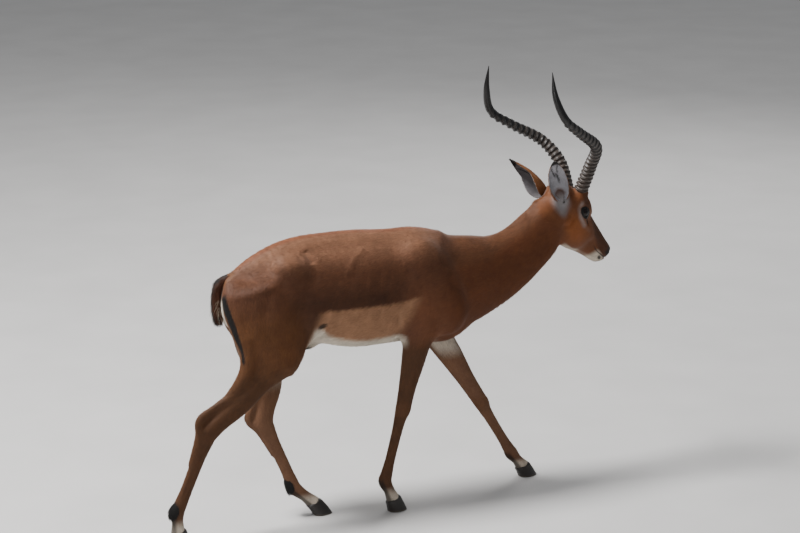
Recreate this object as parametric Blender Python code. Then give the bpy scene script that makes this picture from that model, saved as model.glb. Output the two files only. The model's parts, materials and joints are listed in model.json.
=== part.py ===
"""A life-size impala ram, walking, as a still museum model.

The flesh is one rounded solid, described as a distance field: ovals swept along the bones, and muscles as
ellipsoids, run smoothly together. It is meshed, thinned, and parted by thin cuts into head, neck, trunk and the
lengths of each leg. Horns, ears, eyes, tail and the two claws of each foot are pieces of their own.

Metres, +X the way it walks, +Y its left, +Z up, the floor at z = 0.
"""

import math

import bmesh
import bpy
import numpy as np
from mathutils import Matrix, Vector

# ---------------------------------------------------------------- driving dimensions
CENTRE = (0.150, 0.015)        # the middle of the stance, which becomes the origin
GAP = 0.0004                   # left between neighbouring pieces
GRID = 0.0075                  # spacing of the grid that the flesh is meshed on
FLESH_TRIANGLES = 4100         # of the whole flesh, before it is parted
MERGE = 0.00005                # edges shorter than this are closed up after a cut
LINE_STEPS = 5                 # straight steps between two stations of a sweep
FAR = 0.08                     # the field's value away from everything
REACH = 0.045                  # how far round a shape its field is worked out
BLOCK = 5                      # grid cells along a side of the blocks that are looked through first

HEAD_ORIGIN = (0.790, 0.037, 0.878)    # in the middle plane, level with the eyes
HEAD_TURN, HEAD_ROLL, HEAD_PITCH = 14.0, -4.0, 55.0    # degrees: to its left, right side up, nose down
EYE_PLACE = (0.0, 0.0350, 0.0)         # along the face, sideways, above the eye line
EYE_RADIUS = 0.018
HORN_ROOT = (-0.058, 0.033, 0.038)
HORN_PATH = (                          # outwards, back, up from the root
    (-0.004, 0.003, -0.012), (0.000, 0.002, 0.000), (0.041, -0.006, 0.083), (0.099, 0.021, 0.152),
    (0.132, 0.117, 0.211), (0.146, 0.184, 0.258), (0.132, 0.210, 0.329), (0.118, 0.209, 0.407))
HORN_RADII = (0.0210, 0.0225, 0.0202, 0.0180, 0.0155, 0.0135, 0.0105, 0.0012)
HORN_RINGS = 21                        # ridges up the horn
HORN_RIDGED = 0.76                     # share of the horn's length that is ridged
RIDGE_HEIGHT = 0.0026

EAR_LENGTH = 0.155                     # along the middle
EAR_THICKNESS = 0.0035

# of each ear: its root and the way to its tip in the head's frame, the way its cup opens in the world's, how far
# its back bows, how far it spreads to each side as the cup is rolled tighter or flatter, and a lower power for a
# blunter tip
EAR_WAYS = {
    "ear_right": ((-0.117, -0.047, -0.044), (-0.140, -0.062, 0.008), (-0.35, -0.90, 0.10), 0.012, 0.0235, 0.60),
    "ear_left": ((-0.103, 0.047, -0.032), (-0.144, 0.055, -0.012), (-0.60, -0.35, -0.60), 0.003, 0.0245, 0.85),
}
TAIL_STATIONS = (              # x, y, z, half-width, half-depth
    (-0.396, 0.0, 0.798, 0.019, 0.019), (-0.423, 0.0, 0.781, 0.021, 0.015), (-0.437, 0.0, 0.750, 0.022, 0.013),
    (-0.441, 0.0, 0.713, 0.021, 0.012), (-0.437, 0.0, 0.678, 0.017, 0.011), (-0.426, 0.0, 0.642, 0.006, 0.005))
CORONET_SLOPE = 24.0           # degrees from level, higher in front

# joints of each leg, top to bottom, ending at the middle of the coronet, and the middle of the sole
LEGS = {
    "fore_right": dict(
        joints=((0.235, -0.080, 0.660), (0.185, -0.086, 0.560), (0.142, -0.067, 0.336),
                (0.084, -0.060, 0.103), (0.112, -0.059, 0.040)),
        sole=(0.128, -0.058)),
    "fore_left": dict(
        joints=((0.300, 0.080, 0.640), (0.325, 0.086, 0.520), (0.477, 0.073, 0.271),
                (0.590, 0.074, 0.083), (0.629, 0.074, 0.036)),
        sole=(0.650, 0.074)),
    "hind_right": dict(
        joints=((-0.340, -0.060, 0.760), (-0.270, -0.092, 0.542), (-0.498, -0.082, 0.352),
                (-0.604, -0.077, 0.104), (-0.602, -0.076, 0.042)),
        sole=(-0.588, -0.076)),
    "hind_left": dict(
        joints=((-0.335, 0.060, 0.760), (-0.212, 0.092, 0.548), (-0.278, 0.050, 0.318),
                (-0.187, 0.021, 0.092), (-0.128, 0.011, 0.040)),
        sole=(-0.098, 0.007)),
}
# down a leg: joint number and share of the way to the next, forward offset, half-width, half-depth
FORE_PROFILE = (
    (0.10, 0.000, 0.036, 0.060), (0.60, 0.000, 0.037, 0.057), (1.05, 0.000, 0.035, 0.047),
    (1.35, 0.000, 0.030, 0.038), (1.65, 0.000, 0.025, 0.029), (1.90, 0.001, 0.0225, 0.0255),
    (2.02, 0.002, 0.0215, 0.0250), (2.15, 0.000, 0.0165, 0.0205), (2.35, 0.000, 0.0135, 0.0175),
    (2.70, 0.000, 0.0130, 0.0170), (2.90, 0.000, 0.0155, 0.0200), (3.02, 0.000, 0.0175, 0.0225),
    (3.50, 0.000, 0.0160, 0.0180), (4.00, 0.000, 0.0195, 0.0225))
HIND_PROFILE = (
    (1.00, 0.000, 0.040, 0.054), (1.30, -0.002, 0.036, 0.039), (1.60, 0.005, 0.028, 0.036),
    (1.85, 0.003, 0.0230, 0.0310), (2.02, 0.002, 0.0225, 0.0305), (2.15, 0.000, 0.0180, 0.0260),
    (2.35, 0.000, 0.0148, 0.0212), (2.70, 0.001, 0.0142, 0.0192), (2.90, 0.000, 0.0165, 0.0212),
    (3.02, 0.000, 0.0180, 0.0225), (3.50, 0.000, 0.0165, 0.0185), (4.00, 0.000, 0.0195, 0.0225))
HOOF_LENGTH, HOOF_WIDTH = 0.062, 0.021       # of one claw at its sole
CORONET_LENGTH, CORONET_WIDTH = 0.044, 0.0185
HOOF_SPLIT = 0.0022            # between the two claws of a foot


# ---------------------------------------------------------------- the field's own shapes
def smooth_line(rows, steps):
    """Points on a smooth line through the rows, a few to each stretch; every column is carried along."""
    rows = np.asarray(rows, float)
    padded = np.vstack([2 * rows[0] - rows[1], rows, 2 * rows[-1] - rows[-2]])
    points = []
    for before, start, end, after in zip(padded, padded[1:], padded[2:], padded[3:]):
        for t in np.arange(steps) / steps:
            points.append(0.5 * (2 * start + (end - before) * t
                                 + (2 * before - 5 * start + 4 * end - after) * t ** 2
                                 + (3 * start - before - 3 * end + after) * t ** 3))
    return np.array(points + [rows[-1]])


def smooth_union(a, b, blend):
    """The lower of two fields, rounded over where they meet."""
    share = np.clip(0.5 + 0.5 * (b - a) / blend, 0.0, 1.0)
    return b + (a - b) * share - blend * share * (1.0 - share)


class Frame:
    """A place and three axes, in which a group of shapes is described."""

    def __init__(self, origin=(0.0, 0.0, 0.0), axes=np.eye(3)):
        self.origin = np.array(origin, float)
        self.axes = np.array(axes, float)

    def place(self, point):
        """A point of this frame in world axes."""
        return self.origin + np.asarray(point, float) @ self.axes


def head_frame(pitch):
    """The head's frame: along the face, to its left, and out of the forehead. Pitch 0 keeps it level."""
    turn, roll, nod = (math.radians(a) for a in (HEAD_TURN, HEAD_ROLL, pitch))
    forward = np.array((math.cos(turn), math.sin(turn), 0.0))
    left = np.array((-math.sin(turn), math.cos(turn), 0.0))
    up = np.array((0.0, 0.0, 1.0))
    rolled_left = left * math.cos(roll) + up * math.sin(roll)
    rolled_up = up * math.cos(roll) - left * math.sin(roll)
    along = forward * math.cos(nod) - rolled_up * math.sin(nod)
    out = forward * math.sin(nod) + rolled_up * math.cos(nod)
    return Frame(HEAD_ORIGIN, (along, rolled_left, out))


WORLD = Frame()
HEAD = head_frame(HEAD_PITCH)


def oval_distance(local, radii):
    """Distance, near enough, from points in an oval's own axes to its surface."""
    level = np.sqrt(np.sum((local / radii) ** 2, axis=1))
    slope = np.sqrt(np.sum((local / radii ** 2) ** 2, axis=1))
    tiny = 1e-6
    return (level - 1.0) * (level + tiny) / (slope + tiny / radii.min(axis=-1))


class Sweep:
    """An oval section swept along a smooth line: stations are (x, y, z, half-width, half-depth)."""

    def __init__(self, stations, blend, side=(0.0, 1.0, 0.0), frame=WORLD, egg=0.0, cap=1.0):
        line = smooth_line(stations, LINE_STEPS)
        self.points = frame.place(line[:, :3])
        self.radii = line[:, 3:5]
        self.side = np.asarray(side, float) @ frame.axes
        self.blend, self.egg, self.cap, self.hollow = blend, egg, cap, False
        widest = self.radii.max() * max(1.0, cap) + REACH
        self.low, self.high = self.points.min(0) - widest, self.points.max(0) + widest

    def field(self, points):
        value = np.full(len(points), FAR)
        for start, end, near, far in zip(self.points, self.points[1:], self.radii, self.radii[1:]):
            widest = max(near.max(), far.max()) * max(1.0, self.cap) + REACH
            low, high = np.minimum(start, end) - widest, np.maximum(start, end) + widest
            close = np.nonzero(np.all((points > low) & (points < high), axis=1))[0]
            if len(close) == 0:
                continue
            length = np.linalg.norm(end - start)
            along = (end - start) / length
            side = self.side - along * (self.side @ along)
            side /= np.linalg.norm(side)
            axes = np.stack([side, np.cross(along, side), along])
            offset = points[close] - start
            share = np.clip(offset @ along / length, 0.0, 1.0)[:, None]
            section = near + (far - near) * share
            local = (offset - (end - start) * share) @ axes.T
            lean = 1.0 + self.egg * np.clip(local[:, 1] / section[:, 1], -1.0, 1.0)
            radii = np.column_stack([section[:, 0] * lean, section[:, 1], section.min(1) * self.cap])
            value[close] = np.minimum(value[close], oval_distance(local, radii))
        return value


class Lump:
    """An ellipsoid of muscle or bone, tilted (nose-down is positive) and turned, in degrees, or a hollow."""

    def __init__(self, centre, radii, blend, tilt=0.0, turn=0.0, frame=WORLD, hollow=False):
        rotation = Matrix.Rotation(math.radians(turn), 3, "Z") @ Matrix.Rotation(math.radians(tilt), 3, "Y")
        self.axes = np.array(rotation).T @ frame.axes
        self.centre = frame.place(centre)
        self.radii = np.array(radii, float)
        self.blend, self.hollow = blend, hollow
        widest = self.radii.max() + REACH
        self.low, self.high = self.centre - widest, self.centre + widest

    def field(self, points):
        return oval_distance((points - self.centre) @ self.axes.T, self.radii[None, :])


# ---------------------------------------------------------------- the flesh
def trunk_shapes():
    """Barrel, rump, brisket and the muscles that show on them."""
    shapes = [Sweep((
        (-0.375, 0.0, 0.712, 0.072, 0.084), (-0.310, 0.0, 0.713, 0.096, 0.120),
        (-0.235, 0.0, 0.731, 0.106, 0.144), (-0.155, 0.0, 0.738, 0.112, 0.152),
        (-0.070, 0.0, 0.724, 0.120, 0.170), (0.010, 0.0, 0.714, 0.126, 0.179),
        (0.090, 0.0, 0.710, 0.122, 0.176), (0.165, 0.0, 0.708, 0.112, 0.174),
        (0.235, 0.0, 0.700, 0.100, 0.172), (0.300, 0.0, 0.692, 0.084, 0.146)),
        0.03, egg=-0.14, cap=0.75)]
    shapes.append(Sweep((                                     # spine, from withers to croup
        (-0.400, 0.0, 0.779, 0.022, 0.018), (-0.310, 0.0, 0.821, 0.030, 0.022),
        (-0.190, 0.0, 0.866, 0.034, 0.022), (-0.050, 0.0, 0.873, 0.034, 0.022),
        (0.100, 0.0, 0.864, 0.028, 0.022), (0.200, 0.0, 0.861, 0.026, 0.024),
        (0.280, 0.0, 0.842, 0.026, 0.024)), 0.035))
    shapes.append(Lump((0.315, 0.0, 0.600), (0.090, 0.066, 0.078), 0.05, tilt=-25))     # brisket
    for side in (-1, 1):
        shapes.append(Lump((0.232, side * 0.060, 0.745), (0.066, 0.040, 0.120), 0.06, tilt=-22))  # shoulder blade
        shapes.append(Lump((0.225, side * 0.080, 0.630), (0.085, 0.038, 0.072), 0.04, tilt=-30))  # upper arm
        shapes.append(Lump((0.300, side * 0.074, 0.635), (0.050, 0.036, 0.066), 0.04))            # point of shoulder
        shapes.append(Lump((-0.222, side * 0.074, 0.822), (0.038, 0.024, 0.024), 0.05, tilt=15))  # hip bone
        shapes.append(Lump((-0.392, side * 0.050, 0.725), (0.040, 0.034, 0.058), 0.04))           # seat bone
    shapes.append(Lump((-0.149, 0.0, 0.563), (0.036, 0.015, 0.023), 0.03))              # sheath
    return shapes


def neck_shapes():
    """The ram's thick neck, rising from the chest to the back of the skull."""
    return [Sweep((
        (0.250, 0.000, 0.695, 0.094, 0.165), (0.330, 0.000, 0.700, 0.088, 0.152),
        (0.405, 0.000, 0.709, 0.078, 0.138), (0.480, 0.002, 0.724, 0.066, 0.116),
        (0.545, 0.007, 0.750, 0.057, 0.101), (0.600, 0.013, 0.785, 0.052, 0.092),
        (0.650, 0.019, 0.826, 0.049, 0.086), (0.695, 0.025, 0.870, 0.046, 0.074)), 0.03, cap=0.6)]


def head_shapes():
    """Skull, jaws and muzzle, in the head's own frame."""
    shapes = [
        Sweep((                                               # brain case, face and nose
            (-0.095, 0.0, -0.022, 0.041, 0.044), (-0.050, 0.0, -0.014, 0.046, 0.049),
            (0.000, 0.0, -0.012, 0.044, 0.048), (0.045, 0.0, -0.008, 0.038, 0.043),
            (0.090, 0.0, -0.002, 0.031, 0.037), (0.130, 0.0, 0.002, 0.027, 0.033),
            (0.165, 0.0, 0.005, 0.025, 0.029), (0.182, 0.0, 0.007, 0.024, 0.026)),
            0.02, frame=HEAD, cap=0.85),
        Sweep((                                               # lower jaw
            (0.005, 0.0, -0.062, 0.034, 0.036), (0.045, 0.0, -0.066, 0.034, 0.038),
            (0.085, 0.0, -0.055, 0.028, 0.032), (0.125, 0.0, -0.042, 0.022, 0.026),
            (0.158, 0.0, -0.034, 0.018, 0.021), (0.176, 0.0, -0.029, 0.016, 0.016)),
            0.02, frame=HEAD),
        Sweep((                                               # throat, from jaw to neck
            (0.010, 0.0, -0.075, 0.034, 0.034), (-0.035, 0.0, -0.080, 0.040, 0.045),
            (-0.080, 0.0, -0.075, 0.042, 0.055)), 0.03, frame=HEAD),
        Lump((0.178, 0.0, 0.012), (0.021, 0.020, 0.019), 0.01, frame=HEAD),             # nose pad
        Lump((0.172, 0.0, -0.012), (0.030, 0.020, 0.022), 0.01, frame=HEAD)]            # upper lip
    for side, word in ((-1, "right"), (1, "left")):
        ear = EAR_WAYS["ear_" + word][0]
        shapes += [
            Lump((0.038, side * 0.025, -0.060), (0.045, 0.015, 0.036), 0.030, tilt=15, frame=HEAD),   # cheek
            Lump((-0.004, side * 0.034, 0.020), (0.034, 0.014, 0.016), 0.015, frame=HEAD),            # brow
            Lump((-0.026, side * 0.026, 0.026), (0.032, 0.020, 0.018), 0.02, frame=HEAD),             # forehead
            Lump((0.045, side * 0.030, -0.022), (0.048, 0.011, 0.013), 0.026, frame=HEAD),            # cheek bone
            Sweep(((-0.040, side * 0.026, 0.005, 0.024, 0.024), (-0.054, side * 0.031, 0.040, 0.0235, 0.0235)),
                  0.012, frame=HEAD, cap=0.5),                                                        # horn core
            Lump((ear[0] + 0.011, 0.85 * ear[1], ear[2] + 0.004), (0.026, 0.020, 0.024), 0.02,
                 frame=HEAD),                                                                         # ear root
            Lump((0.002, side * 0.058, 0.0), (0.024, 0.016, 0.020), 0.008, frame=HEAD, hollow=True)]  # eye socket
    return shapes


def limb_stations(joints, profile):
    """A leg's stations: its profile laid along the line from joint to joint."""
    joints = np.array(joints)
    stations = []
    for place, forward, width, depth in profile:
        number = min(int(place), len(joints) - 2)
        start, end = joints[number], joints[number + 1]
        along = (end - start) / np.linalg.norm(end - start)
        ahead = np.cross(along, (0.0, 1.0, 0.0))
        point = start + (end - start) * (place - number) + ahead * forward
        stations.append((*point, width, depth))
    return stations


def leg_shapes(name):
    """One leg: the bones as one sweep, with thigh, heel bone and tendon behind."""
    joints = [np.array(j) for j in LEGS[name]["joints"]]
    if name.startswith("fore"):
        shapes = [Sweep(limb_stations(joints, FORE_PROFILE), 0.02, cap=0.5)]
        elbow = joints[1]
        shapes.append(Lump(elbow + (-0.034, 0.0, 0.010), (0.020, 0.018, 0.030), 0.02))   # elbow bone
        return shapes
    hip, stifle, hock, fetlock = joints[:4]
    shapes = [Sweep(limb_stations(joints, HIND_PROFILE), 0.02, cap=0.5)]
    middle = (hip + stifle) / 2
    shapes.append(Sweep((                                                                # thigh
        (*hip, 0.048, 0.086),
        (*(hip * 0.7 + stifle * 0.3 + (-0.006, 0.0, 0.0)), 0.050, 0.104),
        (*(middle + (-0.008, np.sign(middle[1]) * 0.003, 0.0)), 0.050, 0.106),
        (*(hip * 0.25 + stifle * 0.75 + (-0.012, 0.0, 0.0)), 0.047, 0.092),
        (*(stifle + (-0.012, 0.0, -0.006)), 0.040, 0.066)), 0.03, cap=0.6))
    out = np.sign(middle[1])
    shapes.append(Sweep((                                                                # flank fold
        (-0.150, out * 0.084, 0.668, 0.020, 0.022), (-0.190, out * 0.092, 0.618, 0.022, 0.030),
        (*(stifle + (0.022, out * 0.004, 0.006)), 0.026, 0.032)), 0.04, cap=0.8))
    down = (fetlock - hock) / np.linalg.norm(fetlock - hock)
    back = np.cross((0.0, 1.0, 0.0), down)
    heel = hock - down * 0.022 + back * 0.040
    calf = hock + (stifle - hock) * 0.42
    behind = np.cross((0.0, 1.0, 0.0), (hock - stifle) / np.linalg.norm(hock - stifle))
    shapes.append(Sweep((                                                                # tendon and heel bone
        (*(hip * 0.38 + stifle * 0.62 + (-0.078, 0.0, 0.0)), 0.036, 0.030),
        (*(stifle + (-0.104, 0.0, -0.010)), 0.030, 0.028),
        (*(calf + behind * 0.032), 0.017, 0.019), (*((calf + heel) / 2 + behind * 0.016), 0.010, 0.013),
        (*heel, 0.0115, 0.0135), (*(hock + down * 0.030 + back * 0.024), 0.012, 0.012),
        (*(hock + down * 0.110 + back * 0.012), 0.010, 0.010)), 0.016, cap=0.9))
    return shapes


def flesh_shapes():
    """All that is flesh, in the order in which it runs together."""
    shapes = trunk_shapes() + neck_shapes() + head_shapes()
    for name in LEGS:
        shapes += leg_shapes(name)
    return shapes


def flesh_field(points, shapes):
    """The field of the whole flesh: below zero inside it."""
    value = np.full(len(points), FAR)
    for shape in shapes:
        near = np.nonzero(np.all((points > shape.low) & (points < shape.high), axis=1))[0]
        if len(near) == 0:
            continue
        added = shape.field(points[near])
        if shape.hollow:
            value[near] = -smooth_union(-value[near], added, shape.blend)
        else:
            value[near] = smooth_union(value[near], added, shape.blend)
    return value


# ---------------------------------------------------------------- meshing
def surface_net(shapes, spacing):
    """Vertices and quads of the field's zero surface, one vertex to each grid cell that it crosses."""
    low = np.min([s.low for s in shapes], axis=0)
    high = np.max([s.high for s in shapes], axis=0)
    blocks = np.ceil((high - low) / (spacing * BLOCK)).astype(int)
    counts = blocks * BLOCK
    middles = low + spacing * BLOCK * (np.indices(blocks).reshape(3, -1).T + 0.5)
    coarse = flesh_field(middles, shapes).reshape(blocks)
    value = coarse.repeat(BLOCK, 0).repeat(BLOCK, 1).repeat(BLOCK, 2)
    close = np.argwhere(np.abs(coarse) < 1.6 * spacing * BLOCK)
    within = np.indices((BLOCK,) * 3).reshape(3, -1).T
    nodes = (close[:, None, :] * BLOCK + within).reshape(-1, 3)
    value[tuple(nodes.T)] = flesh_field(low + spacing * nodes, shapes)
    inside = value < 0.0
    cells = tuple(c - 1 for c in counts)
    total = np.zeros(cells + (3,))
    crossings = np.zeros(cells)
    edges = []
    for axis in range(3):
        near = [slice(None)] * 3
        far = [slice(None)] * 3
        near[axis], far[axis] = slice(0, -1), slice(1, None)
        crossed = np.argwhere(inside[tuple(near)] != inside[tuple(far)])
        step = np.eye(3, dtype=int)[axis]
        before = value[tuple(crossed.T)]
        after = value[tuple((crossed + step).T)]
        place = crossed + step * (before / (before - after))[:, None]
        others = [i for i in range(3) if i != axis]
        ring = []
        for shift in ((0, 0), (1, 0), (1, 1), (0, 1)):
            cell = crossed.copy()
            cell[:, others[0]] -= shift[0]
            cell[:, others[1]] -= shift[1]
            np.add.at(total, tuple(cell.T), place)
            np.add.at(crossings, tuple(cell.T), 1)
            ring.append(cell)
        flip = (before < 0.0) == (axis == 1)
        edges.append((np.stack(ring, axis=1), flip))
    used = crossings > 0
    number = np.full(cells, -1)
    number[used] = np.arange(used.sum())
    vertices = low + spacing * total[used] / crossings[used][:, None]
    faces = []
    for ring, flip in edges:
        quads = number[ring[..., 0], ring[..., 1], ring[..., 2]]
        quads[flip] = quads[flip][:, ::-1]
        faces.append(quads)
    return vertices, np.vstack(faces)


def settle(vertices, shapes, rounds=3, probe=0.0008):
    """Moves vertices onto the field's zero surface, down its slope."""
    for _ in range(rounds):
        value = flesh_field(vertices, shapes)
        slope = np.empty_like(vertices)
        for axis in range(3):
            step = np.eye(3)[axis] * probe
            slope[:, axis] = (flesh_field(vertices + step, shapes) - flesh_field(vertices - step, shapes)) / (2 * probe)
        vertices = vertices - slope * (value / np.maximum(np.sum(slope ** 2, axis=1), 0.2))[:, None]
    return vertices


# ---------------------------------------------------------------- materials and objects
def material(name, colour, roughness):
    """A plain Principled material."""
    made = bpy.data.materials.new(name)
    made.use_nodes = True
    shader = made.node_tree.nodes["Principled BSDF"]
    shader.inputs["Base Color"].default_value = (*colour, 1.0)
    shader.inputs["Roughness"].default_value = roughness
    shader.inputs["Metallic"].default_value = 0.0
    return made


def mesh_object(name, vertices, faces, finish):
    """An object from vertices in world metres, moved so that the stance's middle is the origin."""
    mesh = bpy.data.meshes.new(name)
    shift = np.array((*CENTRE, 0.0))
    mesh.from_pydata((np.asarray(vertices) - shift).tolist(), [], [list(map(int, f)) for f in faces])
    made = bpy.data.objects.new(name, mesh)
    bpy.context.scene.collection.objects.link(made)
    mesh.materials.append(finish)
    work = bmesh.new()
    work.from_mesh(mesh)
    bmesh.ops.recalc_face_normals(work, faces=work.faces)
    if work.calc_volume(signed=True) < 0.0:
        bmesh.ops.reverse_faces(work, faces=work.faces)
    work.to_mesh(mesh)
    work.free()
    mesh.shade_smooth()
    return made


def apply_modifier(target, kind, **settings):
    """Adds a modifier and keeps its result as the object's mesh."""
    modifier = target.modifiers.new(kind.title(), kind)
    for name, value in settings.items():
        setattr(modifier, name, value)
    evaluated = target.evaluated_get(bpy.context.evaluated_depsgraph_get())
    target.data = bpy.data.meshes.new_from_object(evaluated)
    target.modifiers.clear()
    work = bmesh.new()
    work.from_mesh(target.data)
    bmesh.ops.dissolve_degenerate(work, dist=MERGE, edges=work.edges)
    bmesh.ops.triangulate(work, faces=work.faces)
    work.to_mesh(target.data)
    work.free()
    return target


# ---------------------------------------------------------------- cuts
def cutter(name, planes, low=(-1.2, -0.6, -0.3), high=(1.2, 0.6, 1.6)):
    """A hidden solid: all that lies on the outward side of every plane (point, direction)."""
    work = bmesh.new()
    bmesh.ops.create_cube(work, size=1.0)
    for vertex in work.verts:
        vertex.co = Vector(low[i] if vertex.co[i] < 0 else high[i] for i in range(3))
    for point, direction in planes:
        geometry = work.verts[:] + work.edges[:] + work.faces[:]
        cut = bmesh.ops.bisect_plane(work, geom=geometry, plane_co=point, plane_no=direction, clear_inner=True)
        edges = [e for e in cut["geom_cut"] if isinstance(e, bmesh.types.BMEdge)]
        if edges:
            bmesh.ops.contextual_create(work, geom=edges)
    bmesh.ops.recalc_face_normals(work, faces=work.faces)
    mesh = bpy.data.meshes.new(name)
    work.to_mesh(mesh)
    work.free()
    made = bpy.data.objects.new(name, mesh)
    bpy.context.scene.collection.objects.link(made)
    made.hide_render = True
    made.display_type = "WIRE"
    return made


def moved_planes(planes, distance):
    """The same planes, moved along their directions."""
    return [(np.asarray(p) + np.asarray(d) / np.linalg.norm(d) * distance, d) for p, d in planes]


def combine(target, tool, operation):
    """Cuts or keeps part of the target by a tool, and drops the tool."""
    apply_modifier(target, "BOOLEAN", operation=operation, object=tool, solver="EXACT")
    bpy.data.objects.remove(tool)


def part_off(body, name, planes):
    """Takes the part of the body that lies within the planes off it, as a piece of its own."""
    placed = [(np.asarray(p, float) - (*CENTRE, 0.0), d) for p, d in planes]
    piece = body.copy()
    piece.data = body.data.copy()
    piece.name = name
    bpy.context.scene.collection.objects.link(piece)
    combine(piece, cutter(name + "_keep", moved_planes(placed, GAP / 2)), "INTERSECT")
    combine(body, cutter(name + "_lose", moved_planes(placed, -GAP / 2)), "DIFFERENCE")
    return piece


def grown(body, distance):
    """A hidden copy of a body, a little larger all round."""
    copy = body.copy()
    copy.data = body.data.copy()
    bpy.context.scene.collection.objects.link(copy)
    normals = [v.normal.copy() for v in copy.data.vertices]
    for vertex, normal in zip(copy.data.vertices, normals):
        vertex.co += normal * distance
    copy.hide_render = True
    copy.display_type = "WIRE"
    return copy


# ---------------------------------------------------------------- pieces made of rings and grids
def ring_faces(rings, around):
    """Quads between rings of equal count, with the two ends closed."""
    faces = [tuple(range(around))[::-1], tuple((rings - 1) * around + i for i in range(around))]
    for row in range(rings - 1):
        for i in range(around):
            j = (i + 1) % around
            faces.append((row * around + i, row * around + j, (row + 1) * around + j, (row + 1) * around + i))
    return faces


def line_axes(line, side):
    """At each point of a line: its direction, and the side and front of its section."""
    along = np.gradient(line, axis=0)
    along /= np.linalg.norm(along, axis=1)[:, None]
    across = side - along * (along @ side)[:, None]
    across /= np.linalg.norm(across, axis=1)[:, None]
    return along, across, np.cross(along, across)


def make_horn(name, side, finish):
    """A horn swept along its lyre-shaped path, ridged over its lower part and smooth at the tip."""
    around, level = 8, head_frame(0.0)
    rows = [(-back, side * out, up, radius) for (out, back, up), radius in zip(HORN_PATH, HORN_RADII)]
    fine = smooth_line(rows, 30)
    travelled = np.concatenate([[0], np.cumsum(np.linalg.norm(np.diff(fine[:, :3], axis=0), axis=1))])
    travelled /= travelled[-1]
    ridged = np.linspace(0.0, HORN_RIDGED, 2 * HORN_RINGS + 1)
    stops = np.concatenate([ridged, np.linspace(HORN_RIDGED, 1.0, 8)[1:]])
    line = np.column_stack([np.interp(stops, travelled, fine[:, i]) for i in range(4)])
    root = HEAD.place((HORN_ROOT[0], side * HORN_ROOT[1], HORN_ROOT[2]))
    points = root + line[:, :3] @ level.axes
    along, across, front = line_axes(points, level.axes[1])
    vertices = []
    for row, point in enumerate(points):
        crest = RIDGE_HEIGHT if row % 2 and row < len(ridged) else 0.0
        fade = 1.0 - 0.5 * stops[row]
        for angle in np.linspace(0.0, 2.0 * math.pi, around, endpoint=False):
            ridge = crest * fade * (0.65 + 0.35 * math.sin(angle))
            radius = line[row, 3] + ridge
            vertices.append(point + (across[row] * math.cos(angle) * 0.94 + front[row] * math.sin(angle)) * radius)
    return mesh_object(name, vertices, ring_faces(len(points), around), finish)


def make_ear(name, finish):
    """A leaf-shaped cup, nearly a tube at its root and open towards its point."""
    rows, columns = 8, 7
    place, tip_way, opening, bow, spread_wide, power = EAR_WAYS[name]
    root = HEAD.place(place)
    way = np.array(tip_way) @ HEAD.axes
    way /= np.linalg.norm(way)
    open_way = np.array(opening, float)
    open_way -= way * (open_way @ way)
    open_way /= np.linalg.norm(open_way)
    across = np.cross(way, open_way)
    outer, inner = [], []
    for row in range(rows):
        share = row / (rows - 1)
        width = spread_wide * (0.50 * (1.0 - share) ** 2 + math.sin(math.pi * share ** 0.80) ** power) + 0.0025
        spread = math.radians(150.0 - 80.0 * min(share / 0.55, 1.0))
        bend = width / math.sin(min(spread, math.pi / 2))
        middle = root + way * EAR_LENGTH * share - open_way * bow * math.sin(math.pi * share)
        for column in range(columns):
            angle = spread * (2.0 * column / (columns - 1) - 1.0)
            direction = across * math.sin(angle) - open_way * math.cos(angle)
            thickness = EAR_THICKNESS * (1.0 - 0.55 * abs(angle) / spread)
            hub = middle + open_way * bend * 0.5
            outer.append(hub + direction * bend)
            inner.append(hub + direction * (bend - thickness))
    count = rows * columns
    faces = []
    for row in range(rows - 1):
        for column in range(columns - 1):
            a, b = row * columns + column, row * columns + column + 1
            c, d = b + columns, a + columns
            faces += [(a, b, c, d), (count + d, count + c, count + b, count + a)]
        for a, d in ((row * columns, (row + 1) * columns), ((row + 1) * columns - 1, (row + 2) * columns - 1)):
            faces.append((a, d, count + d, count + a))
    for start in (0, (rows - 1) * columns):
        for column in range(columns - 1):
            a = start + column
            faces.append((a, a + 1, count + a + 1, count + a))
    return mesh_object(name, outer + inner, faces, finish)


def make_eye(name, side, finish):
    """The eyeball, which fills its socket."""
    centre = HEAD.place((EYE_PLACE[0], side * EYE_PLACE[1], EYE_PLACE[2]))
    work = bmesh.new()
    bmesh.ops.create_icosphere(work, subdivisions=2, radius=EYE_RADIUS)
    vertices = [np.array(v.co) + centre for v in work.verts]
    faces = [[v.index for v in f.verts] for f in work.faces]
    work.free()
    return mesh_object(name, vertices, faces, finish)


def make_tail(name, finish):
    """The hanging tail, flat and bushier towards its end."""
    around = 10
    line = smooth_line(TAIL_STATIONS, 3)
    _, across, front = line_axes(line[:, :3], np.array((0.0, 1.0, 0.0)))
    vertices = []
    for row, station in enumerate(line):
        for angle in np.linspace(0.0, 2.0 * math.pi, around, endpoint=False):
            offset = across[row] * math.cos(angle) * station[3] + front[row] * math.sin(angle) * station[4]
            vertices.append(station[:3] + offset)
    return mesh_object(name, vertices, ring_faces(len(line), around), finish)


def coronet_plane(name):
    """The slanting plane where a foot's flesh ends and its claws begin: a point, and the way down."""
    *_, coronet = LEGS[name]["joints"]
    slope = math.radians(CORONET_SLOPE)
    return np.array(coronet), np.array((math.sin(slope), 0.0, -math.cos(slope)))


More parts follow.
